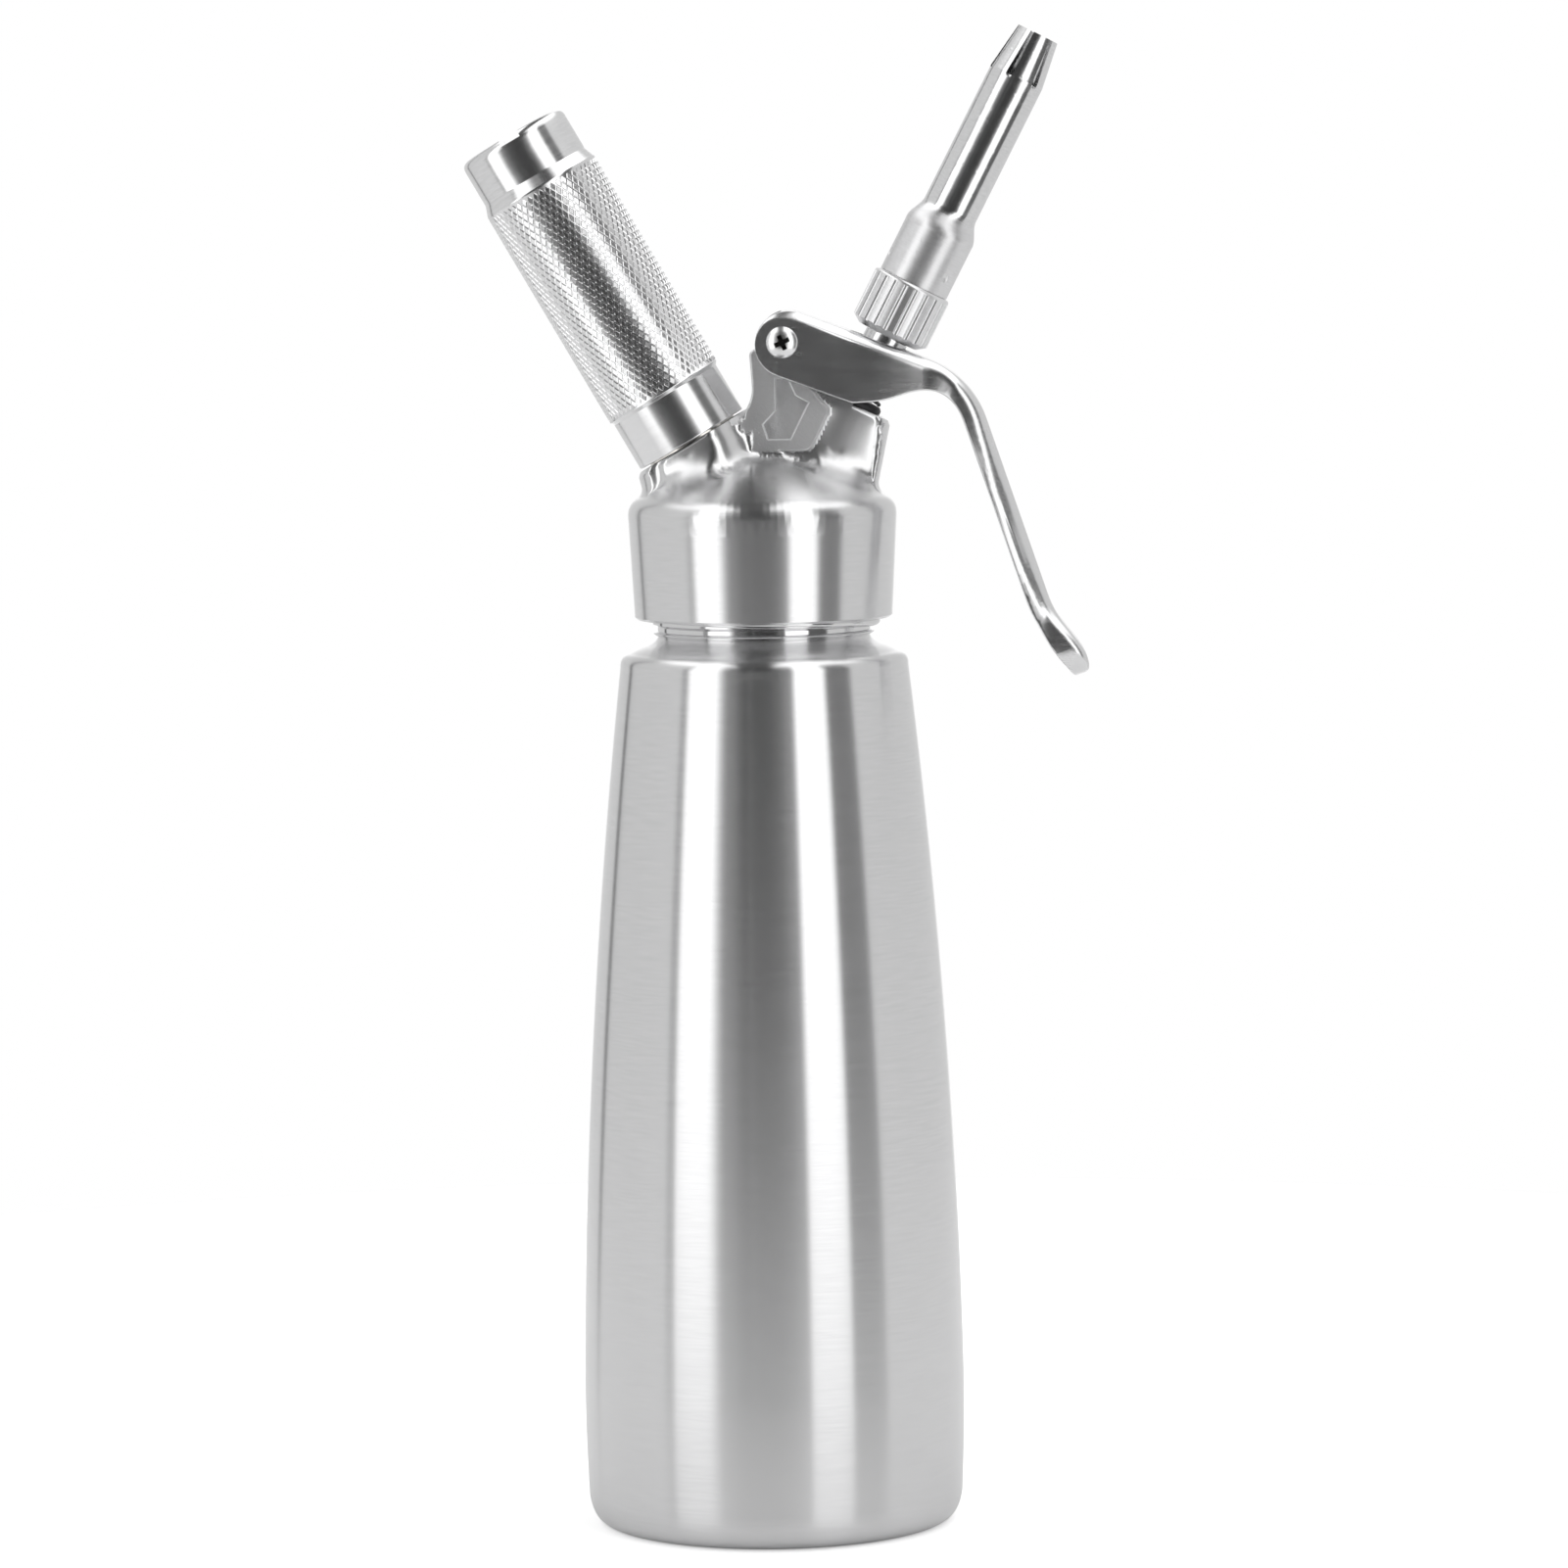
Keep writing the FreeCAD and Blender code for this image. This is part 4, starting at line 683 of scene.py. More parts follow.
def ridge_tree(material):
    """A thread's ridge: a helix with a round section that fades out at both ends."""
    tree, given, output = new_tree("thread_ridge", NECK_RIDGE)
    ask = given.outputs
    total = times(tree, ask["Steps"], ask["Turns"])
    helix = add(tree, "GeometryNodeCurveSpiral", {
        "Resolution": ask["Steps"], "Rotations": ask["Turns"], "Start Radius": ask["Radius"],
        "End Radius": ask["Radius"], "Height": times(tree, ask["Pitch"], ask["Turns"])})
    upright = add(tree, "GeometryNodeSetCurveNormal", {"Curve": helix.outputs[0]})
    share = add(tree, "GeometryNodeSplineParameter").outputs["Factor"]
    fade = maths(tree, "MINIMUM", share, maths(tree, "SUBTRACT", 1.0, share))
    run_out = maths(tree, "MINIMUM", times(tree, fade, maths(tree, "DIVIDE", total, 14.0)), 1.0)
    thick = times(tree, ask["Ridge"], maths(tree, "MAXIMUM", run_out, 0.05))
    sized = add(tree, "GeometryNodeSetCurveRadius", {"Curve": upright.outputs[0], "Radius": thick})
    section = add(tree, "GeometryNodeCurvePrimitiveCircle", {"Resolution": ask["Sides"], "Radius": 1.0})
    skin = add(tree, "GeometryNodeCurveToMesh", {
        "Curve": sized.outputs[0], "Profile Curve": section.outputs[0], "Fill Caps": True})
    lift = add(tree, "ShaderNodeCombineXYZ", [0.0, 0.0, ask["Low"]])
    raised = add(tree, "GeometryNodeTransform", {"Geometry": skin.outputs[0],
                                                 "Translation": lift.outputs[0]})
    finish_tree(tree, raised.outputs[0], output, material)
    return tree


# --- Pieces ---

def body_side(inset):
    """The bottle's long side from foot to shoulder, moved inwards by inset."""
    drop = BODY_R - SHOULDER_R
    points = []
    for number in range(BODY_STEPS + 1):
        share = number / BODY_STEPS
        fall = drop * (BODY_TAPER * share + (1 - BODY_TAPER) * share ** 2)
        points.append((BODY_R - fall - inset, WIDEST_Z + (SHOULDER_Z - WIDEST_Z) * share))
    return points


def curve_through(start, middle, end, steps=8):
    """A parabola's points through three, without the first."""
    s, m, e = Vector(start), Vector(middle), Vector(end)
    pull = 2 * m - (s + e) / 2
    made = []
    for number in range(1, steps + 1):
        t = number / steps
        made.append(tuple(s * (1 - t) ** 2 + pull * 2 * t * (1 - t) + e * t ** 2))
    return made


def bottle_outline():
    """The bottle's closed outline: its outside from the base up, then its inside down."""
    wall = BOTTLE_WALL
    outer = body_side(0)
    inner = list(reversed(body_side(wall)))
    shoulder_mid = (SHOULDER_R - 0.5, SHOULDER_Z + 2.0)
    shoulder_end = (SHOULDER_R - 2.1, SHOULDER_Z + 3.05)
    flare_end = (FLARE_R, SHOULDER_Z + 4.4)
    ring_mid = (FOOT_R - 1.5 * FOOT_RING, 0.45 * BASE_DISH)
    lip_low = MOUTH_Z - NECK_WALL / 2
    lip_top = (NECK_R - NECK_WALL / 2, MOUTH_Z)
    bore_r = NECK_R - NECK_WALL
    foot_out = (BODY_R - 0.6, FOOT_CORNER_Z)
    floor_z = BASE_DISH + wall
    points = [(0, BASE_DISH), (FOOT_R - 2 * FOOT_RING, BASE_DISH)]
    points += curve_through(points[-1], ring_mid, (FOOT_R - FOOT_RING, 0))
    points += [(FOOT_R, 0)]
    points += curve_through((FOOT_R, 0), (BODY_R - 1.9, 1.7), foot_out, 12)
    points += curve_through(foot_out, (BODY_R - 0.13, 0.5 * (FOOT_CORNER_Z + WIDEST_Z)), outer[0], 14)
    points += outer[1:]
    points += curve_through(outer[-1], shoulder_mid, shoulder_end, 12)
    points += curve_through(shoulder_end, (27.05, SHOULDER_Z + 3.75), flare_end, 4)
    points += curve_through(flare_end, (GROOVE_R + 1.05, 187.3), (GROOVE_R, GROOVE_Z), 10)
    points += [(BEAD_ROOT_R, BEAD_Z - BEAD_R)]
    bead_mid = (BEAD_ROOT_R + BEAD_SWELL, BEAD_Z)
    points += curve_through(points[-1], bead_mid, (BEAD_ROOT_R, BEAD_Z + BEAD_R), 10)
    points += [(BEAD_ROOT_R, BEAD_Z + 1.4), (NECK_R, BEAD_Z + 2.0)]
    points += [(NECK_R, lip_low)]
    points += curve_through((NECK_R, lip_low), (NECK_R - 0.3, MOUTH_Z - 0.3), lip_top)
    points += curve_through(lip_top, (bore_r + 0.3, MOUTH_Z - 0.3), (bore_r, lip_low))
    points += [(bore_r, 189.0), (22.4, 186.4), (24.9, 185.2)]
    points += [(shoulder_end[0] - wall, shoulder_end[1] - wall)]
    points += curve_through(points[-1], (shoulder_mid[0] - wall, shoulder_mid[1] - wall), inner[0])
    points += inner[1:]
    points += [(foot_out[0] - wall, FOOT_CORNER_Z + wall)]
    points += curve_through(points[-1], (BODY_R - 1.9 - wall, floor_z + 1.2), (FOOT_R - FOOT_RING, floor_z))
    points += [(0, floor_z)]
    return points


def make_bottle(steel):
    """The bottle, and the rolled thread on its neck."""
    shell = lathe("bottle_shell", bottle_outline(), UPRIGHT, 192)
    new_piece("bottle_shell", shell, "bottle", "bottle", steel, "bottle")
    ridge = grown("neck_thread", ridge_tree(steel), NECK_RIDGE, UPRIGHT)
    smooth_faces(ridge)
    new_piece("neck_thread", ridge, "bottle", "bottle", steel)


def holder_outline():
    """The holder's closed outline: its outside from the foot up, then its bore down."""
    top = HOLDER_LENGTH
    cone = top - HOLDER_NOSE_H - HOLDER_CONE_H
    rim = HOLDER_GRIP_R - GRIP_STEP
    root = HOLDER_GRIP_R - KNURL_DEPTH
    inner_top = top - HOLDER_TOP_WALL
    outline = [
        (STUD_BORE_R, 0), (HOLDER_FOOT_R, 0), (HOLDER_FOOT_R, HOLDER_FOOT_H),
        (rim, HOLDER_FOOT_H + FOOT_SLOPE), (rim, KNURL_LOW - KNURL_RUN_OUT),
        (root, KNURL_LOW + KNURL_RUN_OUT), (root, KNURL_HIGH - KNURL_RUN_OUT),
        (rim, KNURL_HIGH + KNURL_RUN_OUT), (rim, cone), (HOLDER_NOSE_R, cone + HOLDER_CONE_H),
        (HOLDER_NOSE_R, top - COIN_SLOT_DEPTH - NOSE_BAND), (HOLDER_NOSE_R, top), (0, top),
        (0, inner_top), (HOLDER_BORE_R, inner_top), (HOLDER_BORE_R, STUD_BORE_H),
        (STUD_BORE_R, STUD_BORE_H - 0.8)]
    return eased(outline, {1: 0.3, 2: 0.15, 3: 0.2, 8: 0.4, 9: 0.25, 11: HOLDER_EDGE, 14: 2.0})


def make_holder(metal, knurled):
    """The charger holder with its coin slot, and the knurl on its grip."""
    blank = lathe("holder_body", holder_outline(), Matrix(), 160)
    top = HOLDER_LENGTH
    cutter = box_mesh("coin_slot", (-COIN_SLOT_WIDTH / 2, -COIN_SLOT_REACH, top - COIN_SLOT_DEPTH),
                      (COIN_SLOT_WIDTH / 2, COIN_SLOT_REACH, top + COIN_SLOT_REACH))
    body = cut_mesh(blank, cutter)
    body.transform(ON_HOLDER)
    new_piece("holder_body", body, "holder", "charger_holder", metal, "charger_holder")
    pitch_round = 2 * math.pi * HOLDER_GRIP_R / KNURL_STARTS
    row_pitch = pitch_round / math.tan(math.radians(KNURL_ANGLE)) / 2
    rows = int((KNURL_HIGH - KNURL_LOW) / row_pitch)
    start = (KNURL_LOW + KNURL_HIGH - (rows - 1) * row_pitch) / 2
    knurl = grown("holder_knurl", knurl_tree(knurled), {
        "Radius": HOLDER_GRIP_R - KNURL_INSET, "Depth": KNURL_DEPTH, "Starts": KNURL_STARTS, "Rows": rows,
        "Row Pitch": row_pitch, "Low": start, "Flat Share": KNURL_TOP}, ON_HOLDER)
    new_piece("holder_knurl", knurl, "holder", "charger_holder", knurled)


def screw_head_outline(bottom, shank_r):
    """A pan head and a stretch of its shank, from the outline's lowest point."""
    seat = SCREW_SEAT
    rim = seat + SCREW_RIM
    outline = [(0, bottom), (shank_r, bottom), (shank_r, seat), (SCREW_HEAD_R, seat), (SCREW_HEAD_R, rim)]
    for number in range(1, SCREW_DOME_STEPS + 1):
        reach = math.cos(math.radians(90 / SCREW_DOME_STEPS * number)) * SCREW_HEAD_R
        share = 1 - (reach / SCREW_HEAD_R) ** 2
        outline.append((max(reach, 0.0), rim + (SCREW_HEAD_H - SCREW_RIM) * share ** 0.8))
    return outline


def recess_arm(turn):
    """One tapered arm of the screw's cross recess, as a cutter."""
    top = SCREW_SEAT + SCREW_HEAD_H + 0.4
    low = SCREW_SEAT + SCREW_HEAD_H - RECESS_DEPTH
    shape = bmesh.new()
    bmesh.ops.create_cube(shape, size=1.0)
    for vertex in shape.verts:
        high = vertex.co.z > 0
        span = RECESS_SPAN if high else RECESS_FLOOR_SPAN * RECESS_SPAN
        width = RECESS_WIDTH if high else RECESS_FLOOR_WIDTH * RECESS_WIDTH
        vertex.co = Vector((vertex.co.x * span, vertex.co.y * width, top if high else low))
    shape.transform(Matrix.Rotation(math.radians(turn), 4, "Z"))
    return mesh_of(shape, "recess_arm")


def make_pivot(chrome):
    """The lever's screw, with the points at the floor of its recess marked for painted shade."""
    screw = lathe("pivot_screw", screw_head_outline(SCREW_END, SCREW_SHANK_R), Matrix(), 64)
    for turn in (RECESS_TURN, RECESS_TURN + 90):
        screw = cut_mesh(screw, recess_arm(turn))
    # Marks the recess floor, where the screw's material paints shade near black.
    painted_recess_shade = screw.attributes.new("recess", "FLOAT", "POINT")
    floor = SCREW_SEAT + SCREW_HEAD_H - RECESS_DEPTH
    painted_recess_shade.data.foreach_set("value", [float(abs(v.co.z - floor) < 0.01) for v in screw.vertices])
    screw.transform(ON_PIVOT)
    new_piece("pivot_screw", screw, "head", "lever_screw", chrome, "lever_screw")


# --- Head casting ---

def dome_height(reach):
    """Height of the dome at a distance from the bottle's axis."""
    inside = min(reach, DOME_EDGE_R)
    return DOME_CENTRE_Z + math.sqrt(DOME_R ** 2 - (inside - DOME_CENTRE_R) ** 2)


def eased_step(value, low, high):
    """0 below low, 1 above high, and an S-curve between them."""
    share = min(max((value - low) / (high - low), 0.0), 1.0)
    return share * share * (3 - 2 * share)


def soft_span(value, start, full, fading, end):
    """0 outside a span, 1 in its middle, and an S-curve at each end."""
    return eased_step(value, start, full) * eased_step(-value, -end, -fading)


def inside_outline(outline, x, z):
    """True where a point is inside a closed outline."""
    inside = False
    for (ax, az), (bx, bz) in zip(outline, outline[1:] + outline[:1]):
        if (az > z) != (bz > z) and x < ax + (z - az) * (bx - ax) / (bz - az):
            inside = not inside
    return inside


def axis_reach(joint_axis, point):
    """Distance from a joint's axis, in metres."""
    apart = point - Vector(joint_axis["pos_m"])
    along = Vector(joint_axis["axis"]).normalized()
    return (apart - along * apart.dot(along)).length


def near_bores(place, boss=BOSS_BORE, tower=TOWER_BORE):
    """True near the holder's or the valve's axis, where the casting keeps its shape."""
    return axis_reach(HOLDER_AXIS, place) < boss or axis_reach(VALVE_AXIS, place) < tower


def foot_round(x):
    """Radius of the blend between the casting's sides and its dome."""
    wide = max(soft_span(x, *BOSS_FOOT), soft_span(x, *TOWER_FOOT))
    return FOOT_ROUND + (WIDE_FOOT_ROUND - FOOT_ROUND) * wide


def side_half(x, z):
    """How far past the slope's top a place is, and half the casting's thickness there: a
    crowned boss, the slope, and a crowned tower or the bracket."""
    past = (x - TRIM_X) * math.cos(TRIM_LEAN) + (z - TRIM_Z) * math.sin(TRIM_LEAN)
    boss = BOSS_HALF - min(x - BOSS_CROWN_X, 0.0) ** 2 / (2 * BOSS_CROWN_R)
    tower = TOWER_HALF - (max(x - TOWER_CROWN_X, 0.0) ** 2 / (2 * TOWER_CROWN_R)
                          * (1.0 - 0.5 * eased_step(z, *TOWER_EASE_Z)))
    low = POST_HALF if inside_outline(POST_OUTLINE, x, z) else tower
    return past, boss + (low - boss) * eased_step(past, -TRIM_WIDTH, TRIM_FOOT)


def reshaped(point, normal):
    """Where a point of the head's outer skin goes: crowned sides and wide blends."""
    x, y, z = point / MM
    half_here = abs(y)
    edge = DOME_EDGE_R - DOME_MARGIN
    if z < CAST_Z[0] or half_here < CAST_SIDE_Y or normal.z < OVERHANG:
        return None
    if near_bores(point) or (inside_outline(POST_OUTLINE, x, z) and half_here < POST_HALF + NEARLY):
        return None
    rise = z - dome_height(math.hypot(x, y))
    if math.hypot(x, y) > edge or rise < -0.2:
        return None
    past, half = side_half(x, z)
    radius = min(foot_round(x), edge - math.hypot(x, half))
    if radius < LEAST_ROUND:
        return None
    if past <= -TRIM_WIDTH and x < BOSS_END_X:
        half_here -= (BOSS_HALF - half) * eased_step(half_here, BOSS_INNER_Y, BOSS_HALF)
    elif x >= TOWER_CROWN_X:
        half_here -= (TOWER_HALF - half) * eased_step(half_here, CAST_SIDE_Y, TOWER_HALF)
    out = half_here - half
    if past > -TRIM_WIDTH and x < TRIM_END_X and out > 0 and rise > NEARLY:
        low_part = max(radius - rise, 0.0)
        out = min(out, radius - math.sqrt(radius ** 2 - low_part ** 2))
    elif -0.02 < out < radius and rise < radius:
        apart = math.hypot(radius - out, radius - rise)
        if apart > radius:
            out = radius - (radius - out) * radius / apart
            rise = radius - (radius - rise) * radius / apart
    y_new = math.copysign(half + out, y)
    if rise < radius:
        z = dome_height(math.hypot(x, y_new)) + rise
    return Vector((x, y_new, z)) * MM


def sliced(shape, faces, direction, low, high, step):
    """Cut faces by parallel planes, so that they can bend. Gives the cut faces."""
    along = Vector(direction)
    for number in range(int((high - low) / step) + 1):
        geometry = set(faces)
        for face in faces:
            geometry.update(face.edges)
            geometry.update(face.verts)
        made = bmesh.ops.bisect_plane(shape, geom=list(geometry), dist=1e-7,
                                      plane_co=along * (low + number * step) * MM, plane_no=along)
        faces = [f for f in made["geom"] if isinstance(f, bmesh.types.BMFace)]
    return faces


def skin_copy(node):
    """A CAD node's mesh with its points joined, to be reshaped."""
    blank = frame["nodes"][node].data.copy()
    kept = blank.attributes.get("custom_normal")
    if kept:
        blank.attributes.remove(kept)
    shape = bmesh.new()
    shape.from_mesh(blank)
    bmesh.ops.remove_doubles(shape, verts=shape.verts, dist=JOINED)
    return shape


def skin_mesh(name, shape):
    """The smooth mesh of a reshaped skin."""
    bmesh.ops.triangulate(shape, faces=[f for f in shape.faces if len(f.verts) > 4])
    mesh = mesh_of(shape, name)
    smooth_faces(mesh, CREASE)
    return mesh


def bends(face):
    """True for a large face of the casting's sides, which has to be cut before it can bend."""
    centre = face.calc_center_median()
    return (face.normal.z > OVERHANG and abs(centre.y) > SKIN_Y * MM and centre.z > SKIN_Z * MM
            and max(e.calc_length() for e in face.edges) > LONG_EDGE * SLICE * MM and not near_bores(centre))


def below_top(line, way, x, z):
    """True below the crisp rim at the top of the boss or the tower."""
    return (x - line["pos_m"][0] / MM) * way[0] + (z - line["pos_m"][2] / MM) * way[1] < -RIM


def blended(point):
    """True where the polished sides run into each other and into the dome."""
    x, y, z = point
    reach = math.hypot(x, y)
    if abs(y) < BLEND_INNER_Y or z < BLEND_LOW or reach > DOME_EDGE_R - BLEND_MARGIN:
        return False
    if inside_outline(POST_OUTLINE, x, z) or z - dome_height(reach) <= -DOME_MARGIN:
        return False
    if near_bores(Vector(point) * MM, BLEND_BOSS_BORE, BLEND_TOWER_BORE):
        return False
    return below_top(HOLDER_AXIS, HOLDER_WAY, x, z) and below_top(VALVE_AXIS, VALVE_WAY, x, z)


def as_cast_share(point):
    """1 on the bracket's faces, which keep the casting's own skin, and 0 on the polished rest."""
    x, y, z = point
    if z < AS_CAST_Z or axis_reach(HOLDER_AXIS, Vector(point) * MM) < BOSS_BORE:
        return 0.0
    side = inside_outline(POST_OUTLINE, x, z) and abs(y) > AS_CAST_Y
    back = z > AS_CAST_BACK_Z and AS_CAST_BACK_X[0] < x < AS_CAST_BACK_X[1]
    return float(side or back)


def make_head(steel, collar_steel):
    """The head with crowned, blended sides, uneven pockets and a turned collar."""
    shape = skin_copy("head")
    skin = [f for f in shape.faces if bends(f)]
    skin = sliced(shape, skin, (1, 0, 0), *CAST_X, SLICE)
    skin = sliced(shape, skin, (0, 0, 1), *CAST_Z, SLICE)
    sliced(shape, skin, (0, 1, 0), *CAST_Y, 2 * SLICE)
    shape.normal_update()
    moves = [(v, reshaped(v.co, v.normal)) for v in shape.verts]
    for vertex, place in moves:
        if place is not None:
            vertex.co = place
    for vertex in shape.verts:
        x, y, z = vertex.co / MM
        if abs(abs(y) - POCKET_HALF) < NEARLY and inside_outline(POST_OUTLINE, x, z):
            lump = mathutils.noise.fractal(vertex.co / MM * POCKET_LUMPS, 0.9, 2.0, 2)
            lift = min(max(POCKET_LIFT + POCKET_LIFT * lump, 0.0), POCKET_LIFT_MOST)
            vertex.co.y += math.copysign(lift * MM, y)
    soft = [v for v in shape.verts if blended(v.co / MM)]
    for _ in range(BLEND_ROUNDS):
        bmesh.ops.smooth_vert(shape, verts=soft, factor=0.5, use_axis_x=True, use_axis_y=True,
                              use_axis_z=True)
    mesh = skin_mesh("head_casting", shape)
    cast = mesh.attributes.new("as_cast", "FLOAT", "POINT")
    cast.data.foreach_set("value", [as_cast_share(v.co / MM) for v in mesh.vertices])
    new_piece("head_casting", mesh, "head", "head", steel, "head")
    mesh.materials.append(collar_steel)
    for face in mesh.polygons:
        face.material_index = int(face.center.z < COLLAR_TOP_Z * MM)


def make_lever(steel):
    """The lever with slightly barrel-shaped cheeks and drafted sides down its arm."""
    shape = skin_copy("lever")
    long_step, across_step, along_step = LEVER_SLICES
    along = Vector((math.cos(ARM_LEAN), 0, -math.sin(ARM_LEAN)))
    outwards = Vector((math.sin(ARM_LEAN), 0, math.cos(ARM_LEAN)))
    bend = Vector((ARM_START_X, 0, ARM_START_Z))
    skin = [f for f in shape.faces if abs(f.normal.y) > FLAT and abs(f.calc_center_median().y) > SIDE_Y * MM]
    skin = sliced(shape, skin, (1, 0, 0), *LEVER_X, long_step)
    flats = skin + [f for f in shape.faces if abs(f.normal.y) > FLAT]
    skin = [f for f in dict.fromkeys(flats) if f.is_valid and abs(f.calc_center_median().y) > SIDE_Y * MM
            and (f.calc_center_median() / MM - bend).dot(along) > -ARM_LEAD]
    start = outwards.dot(bend)
    skin = sliced(shape, skin, outwards, start, start + ARM_DEPTH, across_step)
    start = along.dot(bend)
    sliced(shape, skin, along, start, start + ARM_LENGTH, along_step)
    for vertex in shape.verts:
        x, y = vertex.co.x / MM, vertex.co.y / MM
        apart = vertex.co / MM - Vector((ARM_START_X, y, ARM_START_Z))
        far = apart.dot(along)
        on_arm = eased_step(far, 0.0, ARM_EASE_IN) - eased_step(far, ARM_EASE_OUT, ARM_LENGTH)
        depth = min(max(apart.dot(outwards), 0.0), DRAFT_DEPTH)
        crown = (max(x - CHEEK_CROWN_X, 0.0) ** 2 / (2 * CHEEK_CROWN_R)
                 * (1.0 - eased_step(x, CHEEK_END_X, ARM_START_X)))
        change = crown + depth * (ARM_DRAFT + ARM_CURVE * depth / 2) * on_arm
        vertex.co.y = math.copysign(abs(y) - change * min(abs(y) / MIDDLE_Y, 1.0), y) * MM
    new_piece("lever_skin", skin_mesh("lever_skin", shape), "lever", "lever", steel, "lever")


def make_threads(nickel, steel):
    """The ridges of the two small threads, under the holder and under the nozzle's nut."""
    stud = grown("stud_thread", ridge_tree(nickel), STUD_RIDGE, ON_HOLDER)
    new_piece("stud_thread", stud, "head", "pin_holder", nickel)
    top = grown("nozzle_thread", ridge_tree(steel), NOZZLE_RIDGE, ON_VALVE)
    new_piece("nozzle_thread", top, "stem", "valve_stem", steel)


# --- Surroundings ---

# Each panel stands round the object: where it starts and ends (degrees from the camera's
# side, positive to the right), how softly, and how bright it is.
PANELS = (
    ("left back line", -135.5, 1.2, -130.0, 1.2, 0.16),
    ("left flag", -67.8, 1.0, -61.5, 1.0, 0.34),
    ("left strip light", -61.5, 1.2, -34.0, 5.5, 1.6),
    ("camera gap, outer left", -33.0, 6.0, 24.0, 1.8, 0.16),
    ("camera gap, core", -19.0, 6.0, 15.5, 4.0, 0.05),
    ("tripod", -11.2, 0.8, -9.0, 0.8, 0.12),
    ("right strip light", 24.5, 1.5, 50.0, 1.5, 1.6),
    ("right flag", 50.5, 1.5, 73.5, 2.5, 0.12),
    ("backdrop, right", 168.0, 5.0, 200.0, 1.0, 1.15),
    ("backdrop, left", -200.0, 1.0, -168.0, 5.0, 1.15),
)
WALL_LIGHT = 0.70
OVERHEAD_LIGHT = 1.6
OVERHEAD_GAP = 0.10  # between the two banks of lights overhead
OVERHEAD_START = (0.60, 0.78)
RIGHT_BANK = (0.05, 0.18)
LEFT_BANK = (-0.32, -0.26)
FLOOR_R = 0.5  # metres
FLOOR_DROP = 0.0002  # metres, so that it doesn't touch the bottle's foot
FLOOR_LIFT = 0.45


def make_world():
    """A pale studio: light walls, two tall strip lights and a dark gap at the camera."""
    world = bpy.data.worlds.new("studio")
    scene.world = world
    world.use_nodes = True
    tree = world.node_tree
    tree.nodes.clear()
    way = add(tree, "ShaderNodeTexCoord").outputs["Generated"]
    split = add(tree, "ShaderNodeSeparateXYZ", [way])
    x, y, z = split.outputs
    bearing = maths(tree, "ARCTAN2", x, times(tree, y, -1.0))
    turn = times(tree, bearing, 180 / math.pi)
    light = WALL_LIGHT
    for name, start, soft_start, end, soft_end, strength in PANELS:
        rise = remap(tree, turn, start - soft_start, start + soft_start, 0.0, 1.0, "SMOOTHSTEP")
        fall = remap(tree, turn, end - soft_end, end + soft_end, 1.0, 0.0, "SMOOTHSTEP")
        inside = times(tree, rise, fall)
        light = mixed(tree, inside, light, strength, name)
    above = remap(tree, z, *OVERHEAD_START, 0.0, 1.0, "SMOOTHSTEP")
    banks = maths(tree, "MAXIMUM", remap(tree, x, *RIGHT_BANK, 0.0, 1.0, "SMOOTHSTEP"),
                  remap(tree, x, *LEFT_BANK, 1.0, 0.0, "SMOOTHSTEP"))
    overhead = remap(tree, banks, 0.0, 1.0, OVERHEAD_GAP, OVERHEAD_LIGHT)
    light = mixed(tree, above, light, overhead, "overhead light")
    ray = add(tree, "ShaderNodeLightPath")
    seen = maths(tree, "MAXIMUM", ray.outputs["Is Camera Ray"], ray.outputs["Is Transmission Ray"])
    shown = mixed(tree, seen, light, 1.0, "white behind the object")
    glow = add(tree, "ShaderNodeBackground", {"Color": (1, 1, 1, 1), "Strength": shown})
    output = add(tree, "ShaderNodeOutputWorld")
    tree.links.new(glow.outputs[0], output.inputs["Surface"])


def make_floor():
    """A round white table top under the object."""
    shape = bmesh.new()
    bmesh.ops.create_circle(shape, cap_ends=True, radius=FLOOR_R, segments=96)
    mesh = mesh_of(shape, "table_top")
    floor = bpy.data.objects.new("table_top", mesh)
    scene.collection.objects.link(floor)
    floor.location.z = -FLOOR_DROP
    material = bpy.data.materials.new("white_table")
    material.use_nodes = True
    tree = material.node_tree
    tree.nodes.clear()
    matt = add(tree, "ShaderNodeBsdfDiffuse", {"Color": (0.9, 0.9, 0.9, 1)})
    seen = add(tree, "ShaderNodeLightPath").outputs["Is Camera Ray"]
    lift = times(tree, seen, FLOOR_LIFT)
    glow = add(tree, "ShaderNodeEmission", {"Color": (1, 1, 1, 1), "Strength": lift})
    both = add(tree, "ShaderNodeAddShader", [matt.outputs[0], glow.outputs[0]])
    output = add(tree, "ShaderNodeOutputMaterial")
    tree.links.new(both.outputs[0], output.inputs["Surface"])
    mesh.materials.append(material)


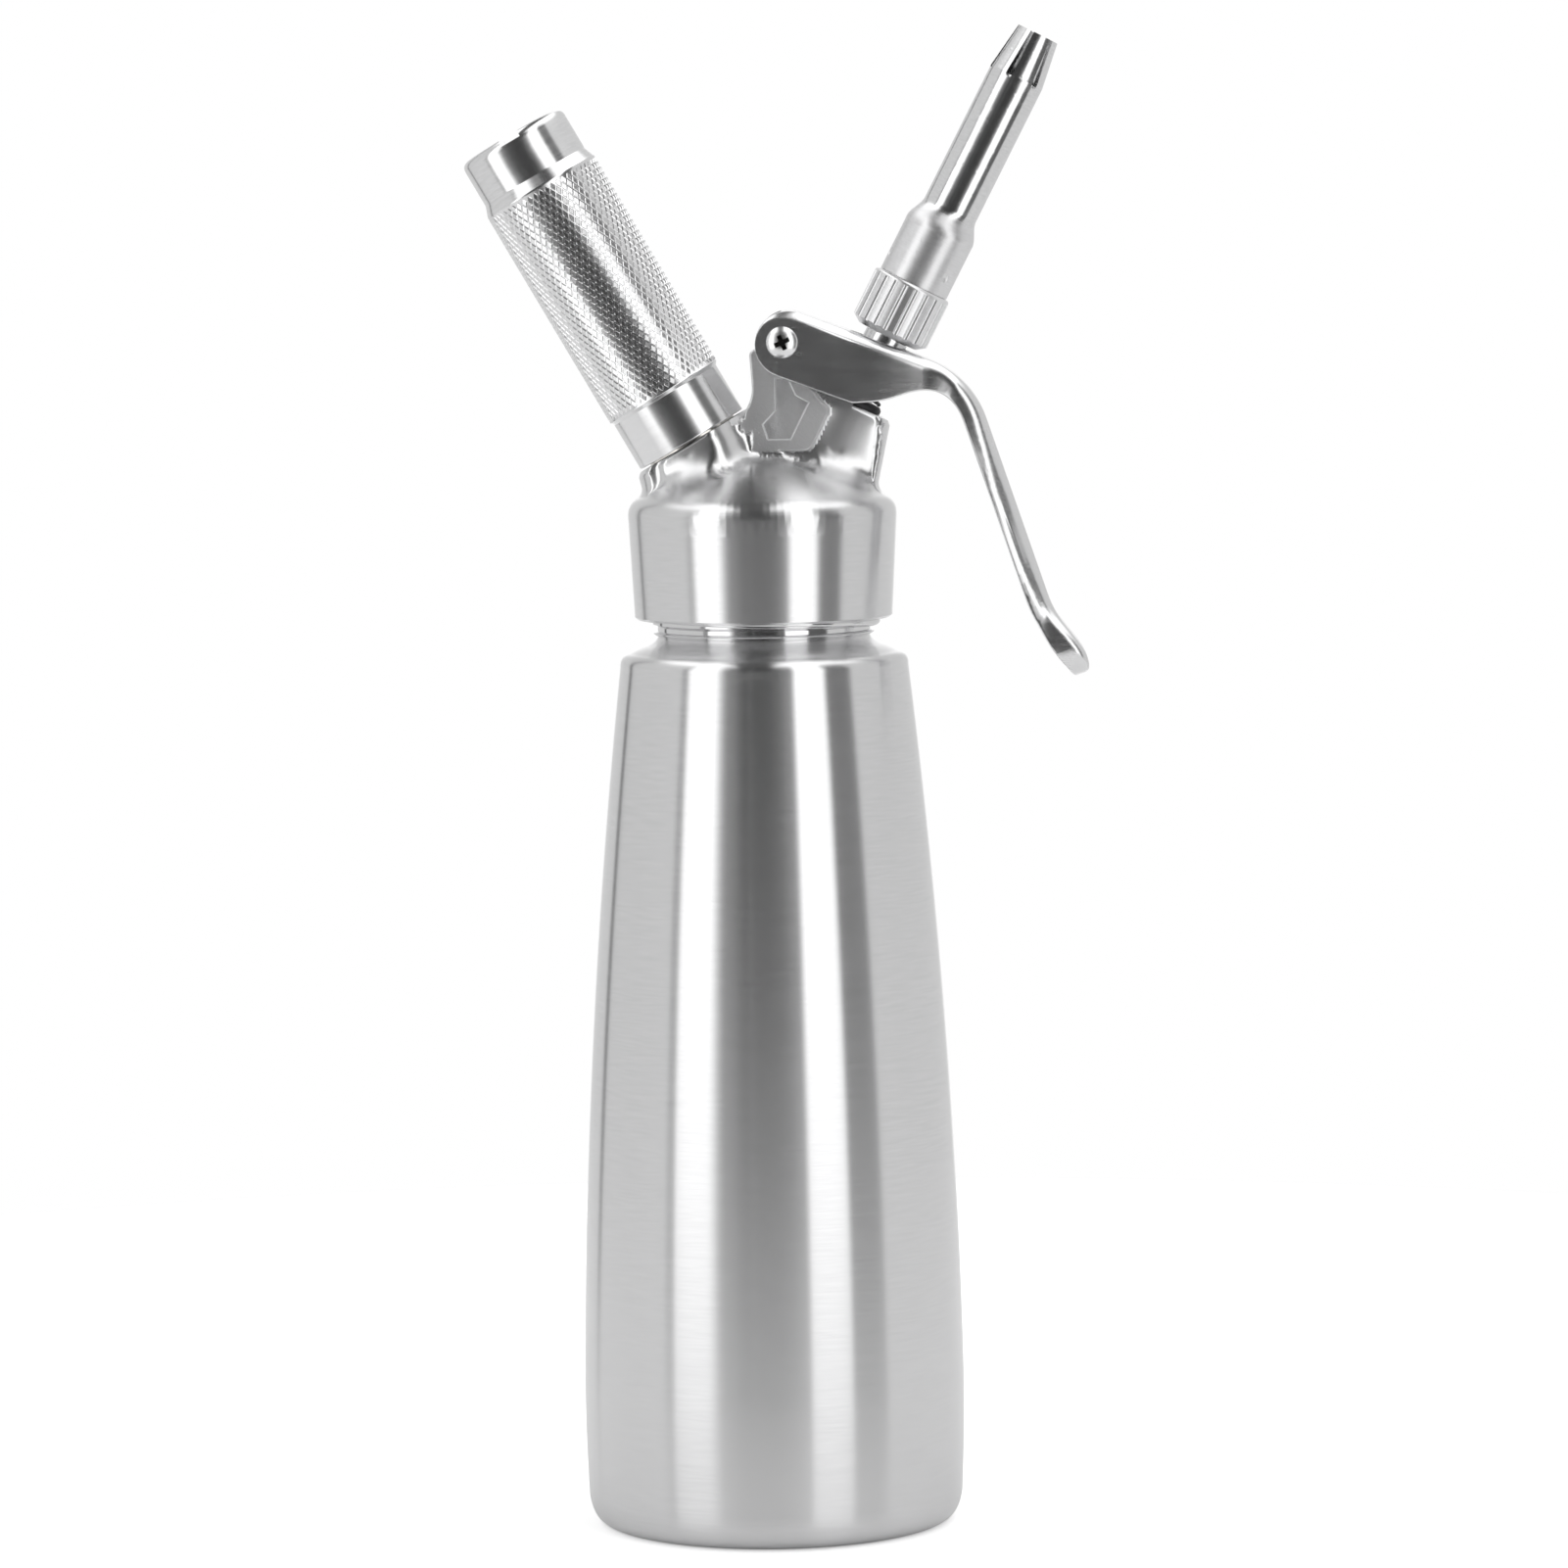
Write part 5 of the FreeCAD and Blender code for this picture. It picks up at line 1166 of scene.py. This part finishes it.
def make_camera():
    """A long lens, a little right of the lever's plane and looking slightly down."""
    data = bpy.data.cameras.new("camera")
    data.lens = CAMERA_LENS
    data.sensor_width = CAMERA_SENSOR
    data.clip_start = 0.05
    data.clip_end = 50.0
    camera = bpy.data.objects.new("camera", data)
    scene.collection.objects.link(camera)
    turn = math.radians(CAMERA_AZIMUTH)
    spot = Vector((CAMERA_DISTANCE * math.sin(turn), -CAMERA_DISTANCE * math.cos(turn), CAMERA_HEIGHT))
    aim = (Matrix.Rotation(math.radians(CAMERA_AZIMUTH + CAMERA_YAW), 4, "Z")
           @ Matrix.Rotation(math.radians(90 - CAMERA_PITCH), 4, "X")
           @ Matrix.Rotation(math.radians(CAMERA_ROLL), 4, "Z"))
    camera.matrix_world = Matrix.Translation(spot) @ aim
    scene.camera = camera


def dress(material, *names):
    """One material for the CAD nodes that show as they are."""
    for name in names:
        mesh = frame["nodes"][name].data
        mesh.materials.clear()
        mesh.materials.append(material)


# --- Build ---

make_camera()
make_world()
make_floor()

stem_metal = turned_metal("turned_stem_steel", (0.78, 0.78, 0.785), 0.18, VALVE_AXIS)
nickel = turned_metal("nickel_plate", (0.78, 0.76, 0.72), 0.18, HOLDER_AXIS)
red_silicone = silicone("red_silicone", (0.62, 0.10, 0.07))
black_plastic = silicone("black_plastic", (0.03, 0.03, 0.032))

make_bottle(brushed_bottle())
make_holder(turned_metal("turned_aluminium", (0.82, 0.82, 0.825), 0.2, HOLDER_AXIS),
            turned_metal("knurled_aluminium", (0.86, 0.86, 0.865), 0.2, HOLDER_AXIS, anisotropy=0.0, cut=0.1))
make_pivot(screw_steel())
make_head(cast_head(), turned_collar())
make_lever(polished_lever())
make_threads(nickel, stem_metal)

dress(red_silicone, "head_gasket", "valve_seal", "inlet_valve_cap")
dress(black_plastic, "valve_guide", "stem_o_ring", "nozzle_seal", "charger_seal", "inlet_valve_seal")
dress(stem_metal, "valve_stem", "valve_spring", "seal_retainer", "piercing_pin")
dress(nickel, "pin_holder", "inlet_valve")
dress(turned_metal("sleeve_nut_steel", (0.8, 0.8, 0.805), 0.2, PIVOT_AXIS), "lever_sleeve_nut")
dress(turned_metal("satin_nut", (0.86, 0.86, 0.865), 0.34, VALVE_AXIS, anisotropy=0.2), "nozzle_nut")
dress(tip_steel(), "decorator_tip")
dress(turned_metal("zinc_charger", (0.70, 0.71, 0.73), 0.3, HOLDER_AXIS, cut=0.1), "gas_charger")

scene.view_settings.view_transform = "Standard"
